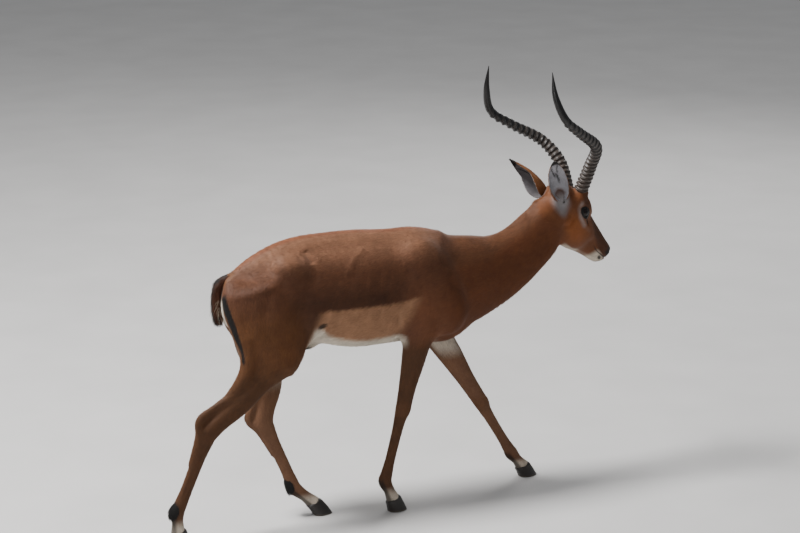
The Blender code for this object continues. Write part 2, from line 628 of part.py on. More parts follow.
def make_claw(name, leg, side, finish):
    """One claw of a foot, from its flat sole up to the coronet."""
    point, down = coronet_plane(leg)
    sole_x, sole_y = LEGS[leg]["sole"]
    outer_turns = np.linspace(0.0, math.pi, 9)
    vertices = []
    shares = (0.0, 0.10, 0.55, 1.0)
    for share in shares:
        length = HOOF_LENGTH * (1.0 + 0.02 * (share == 0.10)) * (1.0 - share) + CORONET_LENGTH * share
        width = HOOF_WIDTH * (1.0 - share) + CORONET_WIDTH * share
        centre_x = sole_x * (1.0 - share) + point[0] * share
        centre_y = sole_y * (1.0 - share) + point[1] * share
        ring = [(math.cos(t), math.sin(t) ** 0.85 * (1.0 - 0.22 * math.cos(t))) for t in outer_turns]
        ring += [(-0.85, 0.0), (-0.3, 0.0), (0.4, 0.0)]
        for ahead, out in ring:
            x = centre_x + ahead * length / 2
            y = centre_y + side * (HOOF_SPLIT / 2 + max(out, 0.0) * width)
            top = point[2] + (x - point[0]) * down[0] / -down[2] - GAP
            vertices.append((x, y, share * top))
    return mesh_object(name, vertices, ring_faces(len(shares), len(ring)), finish)


# ---------------------------------------------------------------- the animal
def part_legs(body):
    """Parts each leg off the body, and then into upper length, shank and pastern."""
    pieces = []
    for name, leg in LEGS.items():
        side = -1.0 if name.endswith("right") else 1.0
        hip, top, middle, fetlock, _ = (np.array(j) for j in leg["joints"])
        fore = name.startswith("fore")
        inner = ((0.0, side * 0.028 if fore else -0.016, 0.0), (0.0, side, 0.0))
        if fore:
            way = middle - top
            ahead = np.cross(fetlock - top, (0.0, 1.0, 0.0))
            ahead /= np.linalg.norm(ahead)
            planes = [(top + way * 0.21, way), inner, (top - ahead * 0.065, ahead),
                      ((0.0, 0.0, 0.62), (0.0, 0.0, -1.0))]
        else:
            planes = [((-0.30, 0.0, 0.530), (-0.10, side * 0.50, -0.90)), inner,
                      ((-0.150, 0.0, 0.56), (-1.0, 0.0, -0.30 if side > 0 else 0.0))]
            if side > 0:
                planes[2] = ((-0.152, 0.0, 0.56), (-0.80, 0.0, -0.60))
        whole = part_off(body, name + "_upper", planes)
        foot_point, foot_down = coronet_plane(name)
        lower = part_off(whole, name + "_lower", [(middle - (middle - top) * (0.12 if fore else 0.17), middle - top)])
        pastern = part_off(lower, name + "_pastern", [(fetlock + (0.0, 0.0, 0.018), fetlock - middle)])
        combine(pastern, cutter(name + "_foot", [(foot_point - np.array((*CENTRE, 0.0)), foot_down)]), "DIFFERENCE")
        pieces += [whole, lower, pastern]
    return pieces


def build():
    """Makes every piece."""
    for old in list(bpy.data.objects):
        bpy.data.objects.remove(old)
    coat = material("tan_coat", (0.42, 0.20, 0.09), 0.75)
    horn = material("black_horn", (0.03, 0.025, 0.02), 0.5)
    eye = material("dark_eye", (0.01, 0.008, 0.006), 0.05)
    hoof = material("black_hoof", (0.02, 0.018, 0.016), 0.45)

    shapes = flesh_shapes()
    vertices, faces = surface_net(shapes, GRID)
    trunk = mesh_object("trunk", settle(vertices, shapes), faces, coat)
    apply_modifier(trunk, "DECIMATE", ratio=FLESH_TRIANGLES / (2.0 * len(faces)))
    whole = grown(trunk, GAP)

    part_legs(trunk)
    head = part_off(trunk, "head", [(HEAD.place((-0.064, 0.0, -0.083)), np.array((0.553, 0.0, 0.833)) @ HEAD.axes)])
    part_off(trunk, "neck", [((0.372, 0.0, 0.710), (0.95, 0.0, 0.31)), ((0.5, 0.0, 0.53), (0.0, 0.0, 1.0))])

    for side, word in ((-1, "right"), (1, "left")):
        eyeball = make_eye("eye_" + word, side, eye)
        combine(head, grown(eyeball, GAP), "DIFFERENCE")
        for piece in (make_ear("ear_" + word, coat), make_horn("horn_" + word, side, horn)):
            apply_modifier(piece, "BOOLEAN", operation="DIFFERENCE", object=whole, solver="EXACT")
    tail = make_tail("tail", coat)
    apply_modifier(tail, "BOOLEAN", operation="DIFFERENCE", object=whole, solver="EXACT")
    bpy.data.objects.remove(whole)

    for leg in LEGS:
        for side, word in ((-1, "right"), (1, "left")):
            make_claw(f"{leg}_claw_{word}", leg, side, hoof)


build()
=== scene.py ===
"""The looks of the life-size impala ram: one skin with its coat of tufts, and its eyes, horns and hooves.

The flesh is the same field of ovals and muscles that the solids come from, meshed finely and set in by
the depth of the coat. Its folds are pressed in, ears and tail are joined on, and its markings are worked
out from places on the body. The tufts grow from that skin and take the same markings.

Metres, +X the way it walks, +Y its left, +Z up, the floor at z = 0.
"""

import json
import math

import bmesh
import bpy
import numpy as np
from mathutils import Matrix, Vector
from mathutils.kdtree import KDTree

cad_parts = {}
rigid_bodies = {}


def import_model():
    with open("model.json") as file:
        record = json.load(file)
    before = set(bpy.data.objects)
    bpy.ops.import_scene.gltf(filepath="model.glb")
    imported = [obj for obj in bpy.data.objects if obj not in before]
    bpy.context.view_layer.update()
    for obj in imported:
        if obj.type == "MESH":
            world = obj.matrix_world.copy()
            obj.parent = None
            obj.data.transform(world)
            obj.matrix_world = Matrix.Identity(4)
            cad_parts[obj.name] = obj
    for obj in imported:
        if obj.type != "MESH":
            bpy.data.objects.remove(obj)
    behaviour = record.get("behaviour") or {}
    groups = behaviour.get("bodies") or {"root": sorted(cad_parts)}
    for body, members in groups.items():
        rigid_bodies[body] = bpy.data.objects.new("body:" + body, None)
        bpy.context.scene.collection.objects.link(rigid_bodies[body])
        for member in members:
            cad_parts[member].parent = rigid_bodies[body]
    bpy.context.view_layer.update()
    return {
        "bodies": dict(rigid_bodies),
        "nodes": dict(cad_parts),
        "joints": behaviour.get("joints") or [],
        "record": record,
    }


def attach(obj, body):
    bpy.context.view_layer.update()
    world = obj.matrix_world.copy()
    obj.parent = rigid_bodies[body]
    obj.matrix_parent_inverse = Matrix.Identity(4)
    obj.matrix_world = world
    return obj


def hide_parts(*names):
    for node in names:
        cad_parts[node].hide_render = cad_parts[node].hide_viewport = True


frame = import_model()

# ---------------------------------------------------------------- the body's dimensions
CENTRE = (0.150, 0.015)        # the middle of the stance, which becomes the origin
GRID = 0.0055                  # spacing of the grid that the skin is meshed on
LINE_STEPS = 5                 # straight steps between two stations of a sweep
SIDES = ((-1, "right"), (1, "left"))
FAR = 0.08                     # the field's value away from everything
REACH = 0.045                  # how far round a shape its field is worked out
BLOCK = 5                      # grid cells along a side of the blocks that are looked through first

HEAD_ORIGIN = (0.790, 0.037, 0.878)    # in the middle plane, level with the eyes
HEAD_TURN, HEAD_ROLL, HEAD_PITCH = 14.0, -4.0, 55.0    # degrees: to its left, right side up, nose down
EYE_PLACE = (0.0, 0.0350, 0.0)         # along the face, sideways, above the eye line
EYE_RADIUS = 0.018
HORN_ROOT = (-0.058, 0.033, 0.038)
HORN_PATH = (                          # outwards, back, up from the root
    (-0.004, 0.003, -0.012), (0.000, 0.002, 0.000), (0.041, -0.006, 0.083), (0.099, 0.021, 0.152),
    (0.132, 0.117, 0.211), (0.146, 0.184, 0.258), (0.132, 0.210, 0.329), (0.118, 0.209, 0.407))
HORN_RADII = (0.0210, 0.0225, 0.0202, 0.0180, 0.0155, 0.0135, 0.0105, 0.0012)
RING_FIRST, RING_LAST = 0.013, 0.025   # from ridge to ridge, at the bottom and the top
HORN_RIDGED = 0.76                     # share of the horn's length that is ridged

EAR_LENGTH = 0.155                     # along the middle
EAR_THICKNESS = 0.0035
# of each ear: its root and the way to its tip in the head's frame, the way its cup opens in the world's,
# how far its back bows, how far it spreads to each side, and a power that is lower for a blunter tip
EAR_WAYS = {
    "ear_right": ((-0.117, -0.047, -0.044), (-0.140, -0.062, 0.008), (-0.35, -0.90, 0.10),
                  0.012, 0.0235, 0.60),
    "ear_left": ((-0.103, 0.047, -0.032), (-0.144, 0.055, -0.012), (-0.60, -0.35, -0.60),
                 0.003, 0.0245, 0.85),
}
TAIL_STATIONS = (              # x, y, z, half-width, half-depth
    (-0.396, 0.0, 0.798, 0.019, 0.019), (-0.423, 0.0, 0.781, 0.021, 0.015),
    (-0.437, 0.0, 0.750, 0.022, 0.013), (-0.441, 0.0, 0.713, 0.021, 0.012),
    (-0.437, 0.0, 0.678, 0.017, 0.011), (-0.426, 0.0, 0.642, 0.006, 0.005))
CORONET_SLOPE = 24.0           # degrees from level, higher in front

# joints of each leg, top to bottom, ending at the middle of the coronet, and the middle of the sole
LEGS = {
    "fore_right": dict(
        joints=((0.235, -0.080, 0.660), (0.185, -0.086, 0.560), (0.142, -0.067, 0.336),
                (0.084, -0.060, 0.103), (0.112, -0.059, 0.040)),
        sole=(0.128, -0.058)),
    "fore_left": dict(
        joints=((0.300, 0.080, 0.640), (0.325, 0.086, 0.520), (0.477, 0.073, 0.271),
                (0.590, 0.074, 0.083), (0.629, 0.074, 0.036)),
        sole=(0.650, 0.074)),
    "hind_right": dict(
        joints=((-0.340, -0.060, 0.760), (-0.270, -0.092, 0.542), (-0.498, -0.082, 0.352),
                (-0.604, -0.077, 0.104), (-0.602, -0.076, 0.042)),
        sole=(-0.588, -0.076)),
    "hind_left": dict(
        joints=((-0.335, 0.060, 0.760), (-0.212, 0.092, 0.548), (-0.278, 0.050, 0.318),
                (-0.187, 0.021, 0.092), (-0.128, 0.011, 0.040)),
        sole=(-0.098, 0.007)),
}
# down a leg: joint number and share of the way to the next, forward offset, half-width, half-depth
FORE_PROFILE = (
    (0.10, 0.000, 0.036, 0.060), (0.60, 0.000, 0.037, 0.057), (1.05, 0.000, 0.035, 0.047),
    (1.35, 0.000, 0.030, 0.038), (1.65, 0.000, 0.025, 0.029), (1.90, 0.001, 0.0225, 0.0255),
    (2.02, 0.002, 0.0215, 0.0250), (2.15, 0.000, 0.0165, 0.0205), (2.35, 0.000, 0.0135, 0.0175),
    (2.70, 0.000, 0.0130, 0.0170), (2.90, 0.000, 0.0155, 0.0200), (3.02, 0.000, 0.0175, 0.0225),
    (3.50, 0.000, 0.0160, 0.0180), (4.00, 0.000, 0.0195, 0.0225))
HIND_PROFILE = (
    (1.00, 0.000, 0.040, 0.054), (1.30, -0.002, 0.036, 0.039), (1.60, 0.005, 0.028, 0.036),
    (1.85, 0.003, 0.0230, 0.0310), (2.02, 0.002, 0.0225, 0.0305), (2.15, 0.000, 0.0180, 0.0260),
    (2.35, 0.000, 0.0148, 0.0212), (2.70, 0.001, 0.0142, 0.0192), (2.90, 0.000, 0.0165, 0.0212),
    (3.02, 0.000, 0.0180, 0.0225), (3.50, 0.000, 0.0165, 0.0185), (4.00, 0.000, 0.0195, 0.0225))
HOOF_LENGTH, HOOF_WIDTH = 0.062, 0.021       # of one claw at its sole
CORONET_LENGTH, CORONET_WIDTH = 0.044, 0.0185
HOOF_SPLIT = 0.0022            # between the two claws of a foot

# ---------------------------------------------------------------- the finer dimensions
BODY_DEPTH, LEG_DEPTH, HEAD_DEPTH, BARE_DEPTH = 0.0026, 0.0016, 0.0014, 0.0003    # how far in the skin is
SETTLE_STEP = 0.004            # the furthest that a vertex is moved at once
LID_THICKNESS = 0.0024
LID_OPENING = (0.0158, 0.0115, 0.0108)       # half the gap between the lids: along, deep, high
EAR_INSET = 0.0006
EAR_ROWS, EAR_COLUMNS = 44, 33
ON_EAR, EAR_NEAR = 0.0035, 0.12              # skin this close to an ear's cup is its own; and to its middle
DOCK_SHARE, DOCK_ROWS, DOCK_AROUND = 0.55, 46, 28      # the dock against the tail; its rows, points round
ON_TAIL = 0.024
TAIL_TUFTS, TAIL_TUFT_WIDTH = 5200, 0.0019
TAIL_WHITE_FROM = 0.36         # of the way down, where the white hair below shows at the sides
HEAD_FINE = ((0.040, 0.0, -0.020), 0.200)
EYES_FINE = ((0.004, 0.046, 0.0), 0.036), ((0.004, -0.046, 0.0), 0.036), ((0.182, 0.0, -0.006), 0.046)
LIDS_FINE = ((0.002, 0.050, 0.0), 0.027), ((0.002, -0.050, 0.0), 0.027), ((0.195, 0.0, 0.004), 0.022)
FINE_PLACES = ((HEAD_FINE,), EYES_FINE, LIDS_FINE)     # each list is meshed twice as finely as the one before
CHEEK_FRONT = (0.086, 0.032, -0.050), 0.026, 0.054     # where the skin is evened out: middle, fully, fading
CHEEK_ROUNDS, SHARE_ROUNDS, LIE_ROUNDS = 40, 6, 40     # of smoothing
SEED = 12
TUFT_STRAY = 0.16              # radians that a tuft turns off the lie
TUFT_SINK = 0.0003             # how deep its root stands in the skin
TUFT_THICKNESS = 0.0006
TUFT_VARIETY, LONG_VARIETY = 0.10, 0.12      # of the tufts' colours
BEND_SHARE = 0.06              # how far a long tuft's middle bows, against its length
# painted shade at each tuft's root and on the skin between the tufts, painted light at each tuft's tip
ROOT_PAINTED_SHADE, TIP_PAINTED_LIGHT, SKIN_PAINTED_SHADE = 0.80, 1.10, 0.85
OWN_NORMAL = 0.35              # how much a tuft is lit by its own sides, the rest as the skin is
PATCH = 0.003                  # of each tuft on its map
MAP_MARGIN, MAP_OVERHANG = 0.01, 0.1         # round the map, and past the ends of a region's line in metres
HORN_AROUND, RING_ROWS, RING_HEIGHT = 44, 12, 0.0062
RING_LOW, RING_PEAK = 0.10, 0.62             # of the way between rings, where one rises and where it peaks
HORN_TIP_ROWS = 60
CLAW_TURNS, CLAW_INNER = 25, 11              # points round a claw's wall, and along the split
CLAW_SHARES = (0.0, 0.0, 0.012, 0.04, 0.09, 0.16, 0.25, 0.35, 0.46, 0.58, 0.70, 0.82, 0.92, 1.0, 1.10)
CLAW_INSETS = (0.0022, 0.0009, 0.0001, *[0.0] * 9, 0.0001, 0.0008, 0.0030)      # of each row
GLAND_TUFTS, GLAND_SPREAD = 1400, 0.019      # on each hind leg, and how far from its middle they stand
GLAND_LENGTH, GLAND_WIDTH, GLAND_LIFT = 0.020, 0.0016, 16.0
WORLD_LIGHT = 0.31
LAMPS = (                      # name, place, aimed at, size, power
    ("key", (-3.0, 0.4, 5.6), (0.0, 0.0, 0.6), 1.8, 740.0),
    ("fill", (-4.5, -6.0, 3.6), (0.0, 0.0, 0.6), 1.6, 110.0),
    ("back", (3.5, 4.0, 3.6), (0.0, 0.0, 0.7), 2.5, 110.0))
CAMERA_PLACE = (-3.088, -6.978, 2.741)
CAMERA_BACK, CAMERA_TURN = (-0.3938, -0.8844, 0.2504), 24.0     # the way out of its back; degrees
CAMERA_LENS, SENSOR_WIDTH, CAMERA_CLIP = 115.0, 36.0, 200.0
FLOOR_SIZE = 40.0


# ---------------------------------------------------------------- sums that many parts use
def unit(rows):
    """Each row made one long."""
    return rows / np.maximum(np.linalg.norm(rows, axis=1), 1e-12)[:, None]


def along_skin(ways, normals):
    """Ways turned to lie along the skin, each one long."""
    return unit(ways - normals * np.sum(ways * normals, axis=1)[:, None])


def smoothstep(low, high, value):
    """0 below low, 1 above high, smooth between; low may be the higher one."""
    t = np.clip((value - low) / (high - low), 0.0, 1.0)
    return t * t * (3.0 - 2.0 * t)


def evened(line):
    """A line's points, each but the ends drawn a little towards its neighbours."""
    line[1:-1] = 0.25 * line[:-2] + 0.5 * line[1:-1] + 0.25 * line[2:]
    return line


def smooth_line(rows, steps):
    """Points on a smooth line through the rows, a few to each stretch; every column is carried along."""
    rows = np.asarray(rows, float)
    padded = np.vstack([2 * rows[0] - rows[1], rows, 2 * rows[-1] - rows[-2]])
    points = []
    for before, start, end, after in zip(padded, padded[1:], padded[2:], padded[3:]):
        for t in np.arange(steps) / steps:
            points.append(0.5 * (2 * start + (end - before) * t
                                 + (2 * before - 5 * start + 4 * end - after) * t ** 2
                                 + (3 * start - before - 3 * end + after) * t ** 3))
    return np.array(points + [rows[-1]])


# ---------------------------------------------------------------- the field's own shapes
def smooth_union(a, b, blend):
    """The lower of two fields, rounded over where they meet."""
    share = np.clip(0.5 + 0.5 * (b - a) / blend, 0.0, 1.0)
    return b + (a - b) * share - blend * share * (1.0 - share)


class Frame:
    """A place and three axes, in which a group of shapes is described."""

    def __init__(self, origin=(0.0, 0.0, 0.0), axes=np.eye(3)):
        self.origin = np.array(origin, float)
        self.axes = np.array(axes, float)

    def place(self, point):
        """A point of this frame in world axes."""
        return self.origin + np.asarray(point, float) @ self.axes


def head_frame(pitch):
    """The head's frame: along the face, to its left, and out of the forehead. Pitch 0 keeps it level."""
    turn, roll, nod = (math.radians(a) for a in (HEAD_TURN, HEAD_ROLL, pitch))
    forward = np.array((math.cos(turn), math.sin(turn), 0.0))
    left = np.array((-math.sin(turn), math.cos(turn), 0.0))
    up = np.array((0.0, 0.0, 1.0))
    rolled_left = left * math.cos(roll) + up * math.sin(roll)
    rolled_up = up * math.cos(roll) - left * math.sin(roll)
    along = forward * math.cos(nod) - rolled_up * math.sin(nod)
    out = forward * math.sin(nod) + rolled_up * math.cos(nod)
    return Frame(HEAD_ORIGIN, (along, rolled_left, out))


WORLD = Frame()
HEAD = head_frame(HEAD_PITCH)


def inside_box(points, low, high):
    """The numbers of the points inside a box."""
    x, y, z = points.T
    held = (x > low[0]) & (x < high[0]) & (y > low[1]) & (y < high[1]) & (z > low[2]) & (z < high[2])
    return np.nonzero(held)[0]


def oval_distance(local, radii):
    """Distance, near enough, from points in an oval's own axes to its surface."""
    scaled = local / radii
    steep = scaled / radii
    level = np.sqrt(np.einsum("ij,ij->i", scaled, scaled))
    slope = np.sqrt(np.einsum("ij,ij->i", steep, steep))
    tiny = 1e-6
    return (level - 1.0) * (level + tiny) / (slope + tiny / radii[..., 0])


class Sweep:
    """An oval section swept along a smooth line: stations are (x, y, z, half-width, half-depth)."""

    def __init__(self, stations, blend, side=(0.0, 1.0, 0.0), frame=WORLD, egg=0.0, cap=1.0):
        line = smooth_line(stations, LINE_STEPS)
        self.points = frame.place(line[:, :3])
        self.radii = line[:, 3:5]
        self.side = np.asarray(side, float) @ frame.axes
        self.blend, self.egg, self.cap, self.hollow = blend, egg, cap, False
        widest = self.radii.max() * max(1.0, cap) + REACH
        self.low, self.high = self.points.min(0) - widest, self.points.max(0) + widest

    def field(self, points):
        """The distance of points from the sweep, below zero inside it."""
        value = np.full(len(points), FAR)
        for start, end, near, far in zip(self.points, self.points[1:], self.radii, self.radii[1:]):
            widest = max(near.max(), far.max()) * max(1.0, self.cap) + REACH
            low, high = np.minimum(start, end) - widest, np.maximum(start, end) + widest
            close = inside_box(points, low, high)
            if len(close) == 0:
                continue
            length = np.linalg.norm(end - start)
            along = (end - start) / length
            side = self.side - along * (self.side @ along)
            side /= np.linalg.norm(side)
            axes = np.stack([side, np.cross(along, side), along])
            offset = points[close] - start
            share = np.clip(offset @ along / length, 0.0, 1.0)[:, None]
            section = near + (far - near) * share
            local = (offset - (end - start) * share) @ axes.T
            lean = 1.0 + self.egg * np.clip(local[:, 1] / section[:, 1], -1.0, 1.0)
            cap = np.minimum(section[:, 0], section[:, 1]) * self.cap
            radii = np.column_stack([section[:, 0] * lean, section[:, 1], cap])
            value[close] = np.minimum(value[close], oval_distance(local, radii))
        return value


class Lump:
    """An ellipsoid of muscle or bone, tilted (nose-down is positive) and turned, in degrees, or a hollow."""

    def __init__(self, centre, radii, blend, tilt=0.0, turn=0.0, frame=WORLD, hollow=False):
        rotation = Matrix.Rotation(math.radians(turn), 3, "Z") @ Matrix.Rotation(math.radians(tilt), 3, "Y")
        self.axes = np.array(rotation).T @ frame.axes
        self.centre = frame.place(centre)
        self.radii = np.array(radii, float)
        self.blend, self.hollow = blend, hollow
        widest = self.radii.max() + REACH
        self.low, self.high = self.centre - widest, self.centre + widest

    def field(self, points):
        """The distance of points from the lump, below zero inside it."""
        return oval_distance((points - self.centre) @ self.axes.T, self.radii[None, :])


# ---------------------------------------------------------------- the flesh
def trunk_shapes():
    """Barrel, rump, brisket and the muscles that show on them."""
    shapes = [Sweep((
        (-0.375, 0.0, 0.712, 0.072, 0.084), (-0.310, 0.0, 0.713, 0.096, 0.120),
        (-0.235, 0.0, 0.731, 0.106, 0.144), (-0.155, 0.0, 0.738, 0.112, 0.152),
        (-0.070, 0.0, 0.724, 0.120, 0.170), (0.010, 0.0, 0.714, 0.126, 0.179),
        (0.090, 0.0, 0.710, 0.122, 0.176), (0.165, 0.0, 0.708, 0.112, 0.174),
        (0.235, 0.0, 0.700, 0.100, 0.172), (0.300, 0.0, 0.692, 0.084, 0.146)),
        0.03, egg=-0.14, cap=0.75)]
    shapes.append(Sweep((                                     # spine, from withers to croup
        (-0.400, 0.0, 0.779, 0.022, 0.018), (-0.310, 0.0, 0.821, 0.030, 0.022),
        (-0.190, 0.0, 0.866, 0.034, 0.022), (-0.050, 0.0, 0.873, 0.034, 0.022),
        (0.100, 0.0, 0.864, 0.028, 0.022), (0.200, 0.0, 0.861, 0.026, 0.024),
        (0.280, 0.0, 0.842, 0.026, 0.024)), 0.035))
    shapes.append(Lump((0.315, 0.0, 0.600), (0.090, 0.066, 0.078), 0.05, tilt=-25))     # brisket
    for side in (-1, 1):
        shapes += [
            Lump((0.232, side * 0.060, 0.745), (0.066, 0.040, 0.120), 0.06, tilt=-22),      # shoulder blade
            Lump((0.225, side * 0.080, 0.630), (0.085, 0.038, 0.072), 0.04, tilt=-30),      # upper arm
            Lump((0.300, side * 0.074, 0.635), (0.050, 0.036, 0.066), 0.04),  # point of shoulder
            Lump((-0.222, side * 0.074, 0.822), (0.038, 0.024, 0.024), 0.05, tilt=15),      # hip bone
            Lump((-0.392, side * 0.050, 0.725), (0.040, 0.034, 0.058), 0.04)]               # seat bone
    shapes.append(Lump((-0.149, 0.0, 0.563), (0.036, 0.015, 0.023), 0.03))                  # sheath
    return shapes


def neck_shapes():
    """The ram's thick neck, rising from the chest to the back of the skull."""
    return [Sweep((
        (0.250, 0.000, 0.695, 0.094, 0.165), (0.330, 0.000, 0.700, 0.088, 0.152),
        (0.405, 0.000, 0.709, 0.078, 0.138), (0.480, 0.002, 0.724, 0.066, 0.116),
        (0.545, 0.007, 0.750, 0.057, 0.101), (0.600, 0.013, 0.785, 0.052, 0.092),
        (0.650, 0.019, 0.826, 0.049, 0.086), (0.695, 0.025, 0.870, 0.046, 0.074)), 0.03, cap=0.6)]


def head_shapes():
    """Skull, jaws and muzzle, in the head's own frame."""
    shapes = [
        Sweep((                                               # brain case, face and nose
            (-0.095, 0.0, -0.022, 0.041, 0.044), (-0.050, 0.0, -0.014, 0.046, 0.049),
            (0.000, 0.0, -0.012, 0.044, 0.048), (0.045, 0.0, -0.008, 0.038, 0.043),
            (0.090, 0.0, -0.002, 0.031, 0.037), (0.130, 0.0, 0.002, 0.027, 0.033),
            (0.165, 0.0, 0.005, 0.025, 0.029), (0.182, 0.0, 0.007, 0.024, 0.026)),
            0.02, frame=HEAD, cap=0.85),
        Sweep((                                               # lower jaw
            (0.005, 0.0, -0.062, 0.034, 0.036), (0.045, 0.0, -0.066, 0.034, 0.038),
            (0.085, 0.0, -0.055, 0.028, 0.032), (0.125, 0.0, -0.042, 0.022, 0.026),
            (0.158, 0.0, -0.034, 0.018, 0.021), (0.176, 0.0, -0.029, 0.016, 0.016)),
            0.02, frame=HEAD),
        Sweep((                                               # throat, from jaw to neck
            (0.010, 0.0, -0.075, 0.034, 0.034), (-0.035, 0.0, -0.080, 0.040, 0.045),
            (-0.080, 0.0, -0.075, 0.042, 0.055)), 0.03, frame=HEAD),
        Lump((0.178, 0.0, 0.012), (0.021, 0.020, 0.019), 0.01, frame=HEAD),             # nose pad
        Lump((0.172, 0.0, -0.012), (0.030, 0.020, 0.022), 0.01, frame=HEAD)]            # upper lip
    for side, word in SIDES:
        ear = EAR_WAYS["ear_" + word][0]
        shapes += [
            Lump((0.038, side * 0.025, -0.060), (0.045, 0.015, 0.036), 0.030, 15, frame=HEAD),      # cheek
            Lump((-0.004, side * 0.034, 0.020), (0.034, 0.014, 0.016), 0.015, frame=HEAD),          # brow
            Lump((-0.026, side * 0.026, 0.026), (0.032, 0.020, 0.018), 0.02, frame=HEAD),           # forehead
            Lump((0.045, side * 0.030, -0.022), (0.048, 0.011, 0.013), 0.026, frame=HEAD),  # cheek bone
            Sweep((                                           # horn core
                (-0.040, side * 0.026, 0.005, 0.024, 0.024),
                (-0.054, side * 0.031, 0.040, 0.0235, 0.0235)), 0.012, frame=HEAD, cap=0.5),
            Lump((ear[0] + 0.011, 0.85 * ear[1], ear[2] + 0.004), (0.026, 0.020, 0.024),            # ear root
                 0.02, frame=HEAD),
            Lump((0.002, side * 0.058, 0.0), (0.024, 0.016, 0.020), 0.008, frame=HEAD,  # eye socket
                 hollow=True)]
    return shapes


def limb_stations(joints, profile):
    """A leg's stations: its profile laid along the line from joint to joint."""
    joints = np.array(joints)
    stations = []
    for place, forward, width, depth in profile:
        number = min(int(place), len(joints) - 2)
        start, end = joints[number], joints[number + 1]
        along = (end - start) / np.linalg.norm(end - start)
        ahead = np.cross(along, (0.0, 1.0, 0.0))
        point = start + (end - start) * (place - number) + ahead * forward
        stations.append((*point, width, depth))
    return stations


def leg_shapes(name):
    """One leg: the bones as one sweep, with thigh, heel bone and tendon behind."""
    joints = [np.array(j) for j in LEGS[name]["joints"]]
    if name.startswith("fore"):
        shapes = [Sweep(limb_stations(joints, FORE_PROFILE), 0.02, cap=0.5)]
        shapes.append(Lump(joints[1] + (-0.034, 0.0, 0.010), (0.020, 0.018, 0.030), 0.02))   # elbow bone
        return shapes
    hip, stifle, hock, fetlock = joints[:4]
    shapes = [Sweep(limb_stations(joints, HIND_PROFILE), 0.02, cap=0.5)]
    middle = (hip + stifle) / 2
    out = np.sign(middle[1])
    shapes.append(Sweep((                                     # thigh
        (*hip, 0.048, 0.086),
        (*(hip * 0.7 + stifle * 0.3 + (-0.006, 0.0, 0.0)), 0.050, 0.104),
        (*(middle + (-0.008, out * 0.003, 0.0)), 0.050, 0.106),
        (*(hip * 0.25 + stifle * 0.75 + (-0.012, 0.0, 0.0)), 0.047, 0.092),
        (*(stifle + (-0.012, 0.0, -0.006)), 0.040, 0.066)), 0.03, cap=0.6))
    shapes.append(Sweep((                                     # flank fold
        (-0.150, out * 0.084, 0.668, 0.020, 0.022), (-0.190, out * 0.092, 0.618, 0.022, 0.030),
        (*(stifle + (0.022, out * 0.004, 0.006)), 0.026, 0.032)), 0.04, cap=0.8))
    down = (fetlock - hock) / np.linalg.norm(fetlock - hock)
    back = np.cross((0.0, 1.0, 0.0), down)
    heel = hock - down * 0.022 + back * 0.040
    calf = hock + (stifle - hock) * 0.42
    behind = np.cross((0.0, 1.0, 0.0), (hock - stifle) / np.linalg.norm(hock - stifle))
    shapes.append(Sweep((                                     # tendon and heel bone
        (*(hip * 0.38 + stifle * 0.62 + (-0.078, 0.0, 0.0)), 0.036, 0.030),
        (*(stifle + (-0.104, 0.0, -0.010)), 0.030, 0.028),
        (*(calf + behind * 0.032), 0.017, 0.019), (*((calf + heel) / 2 + behind * 0.016), 0.010, 0.013),
        (*heel, 0.0115, 0.0135), (*(hock + down * 0.030 + back * 0.024), 0.012, 0.012),
        (*(hock + down * 0.110 + back * 0.012), 0.010, 0.010)), 0.016, cap=0.9))
    return shapes


def flesh_field(points, shapes):
    """The field of the whole flesh: below zero inside it."""
    value = np.full(len(points), FAR)
    for shape in shapes:
        near = inside_box(points, shape.low, shape.high)
        if len(near) == 0:
            continue
        added = shape.field(points[near])
        if shape.hollow:
            value[near] = -smooth_union(-value[near], added, shape.blend)
        else:
            value[near] = smooth_union(value[near], added, shape.blend)
    return value


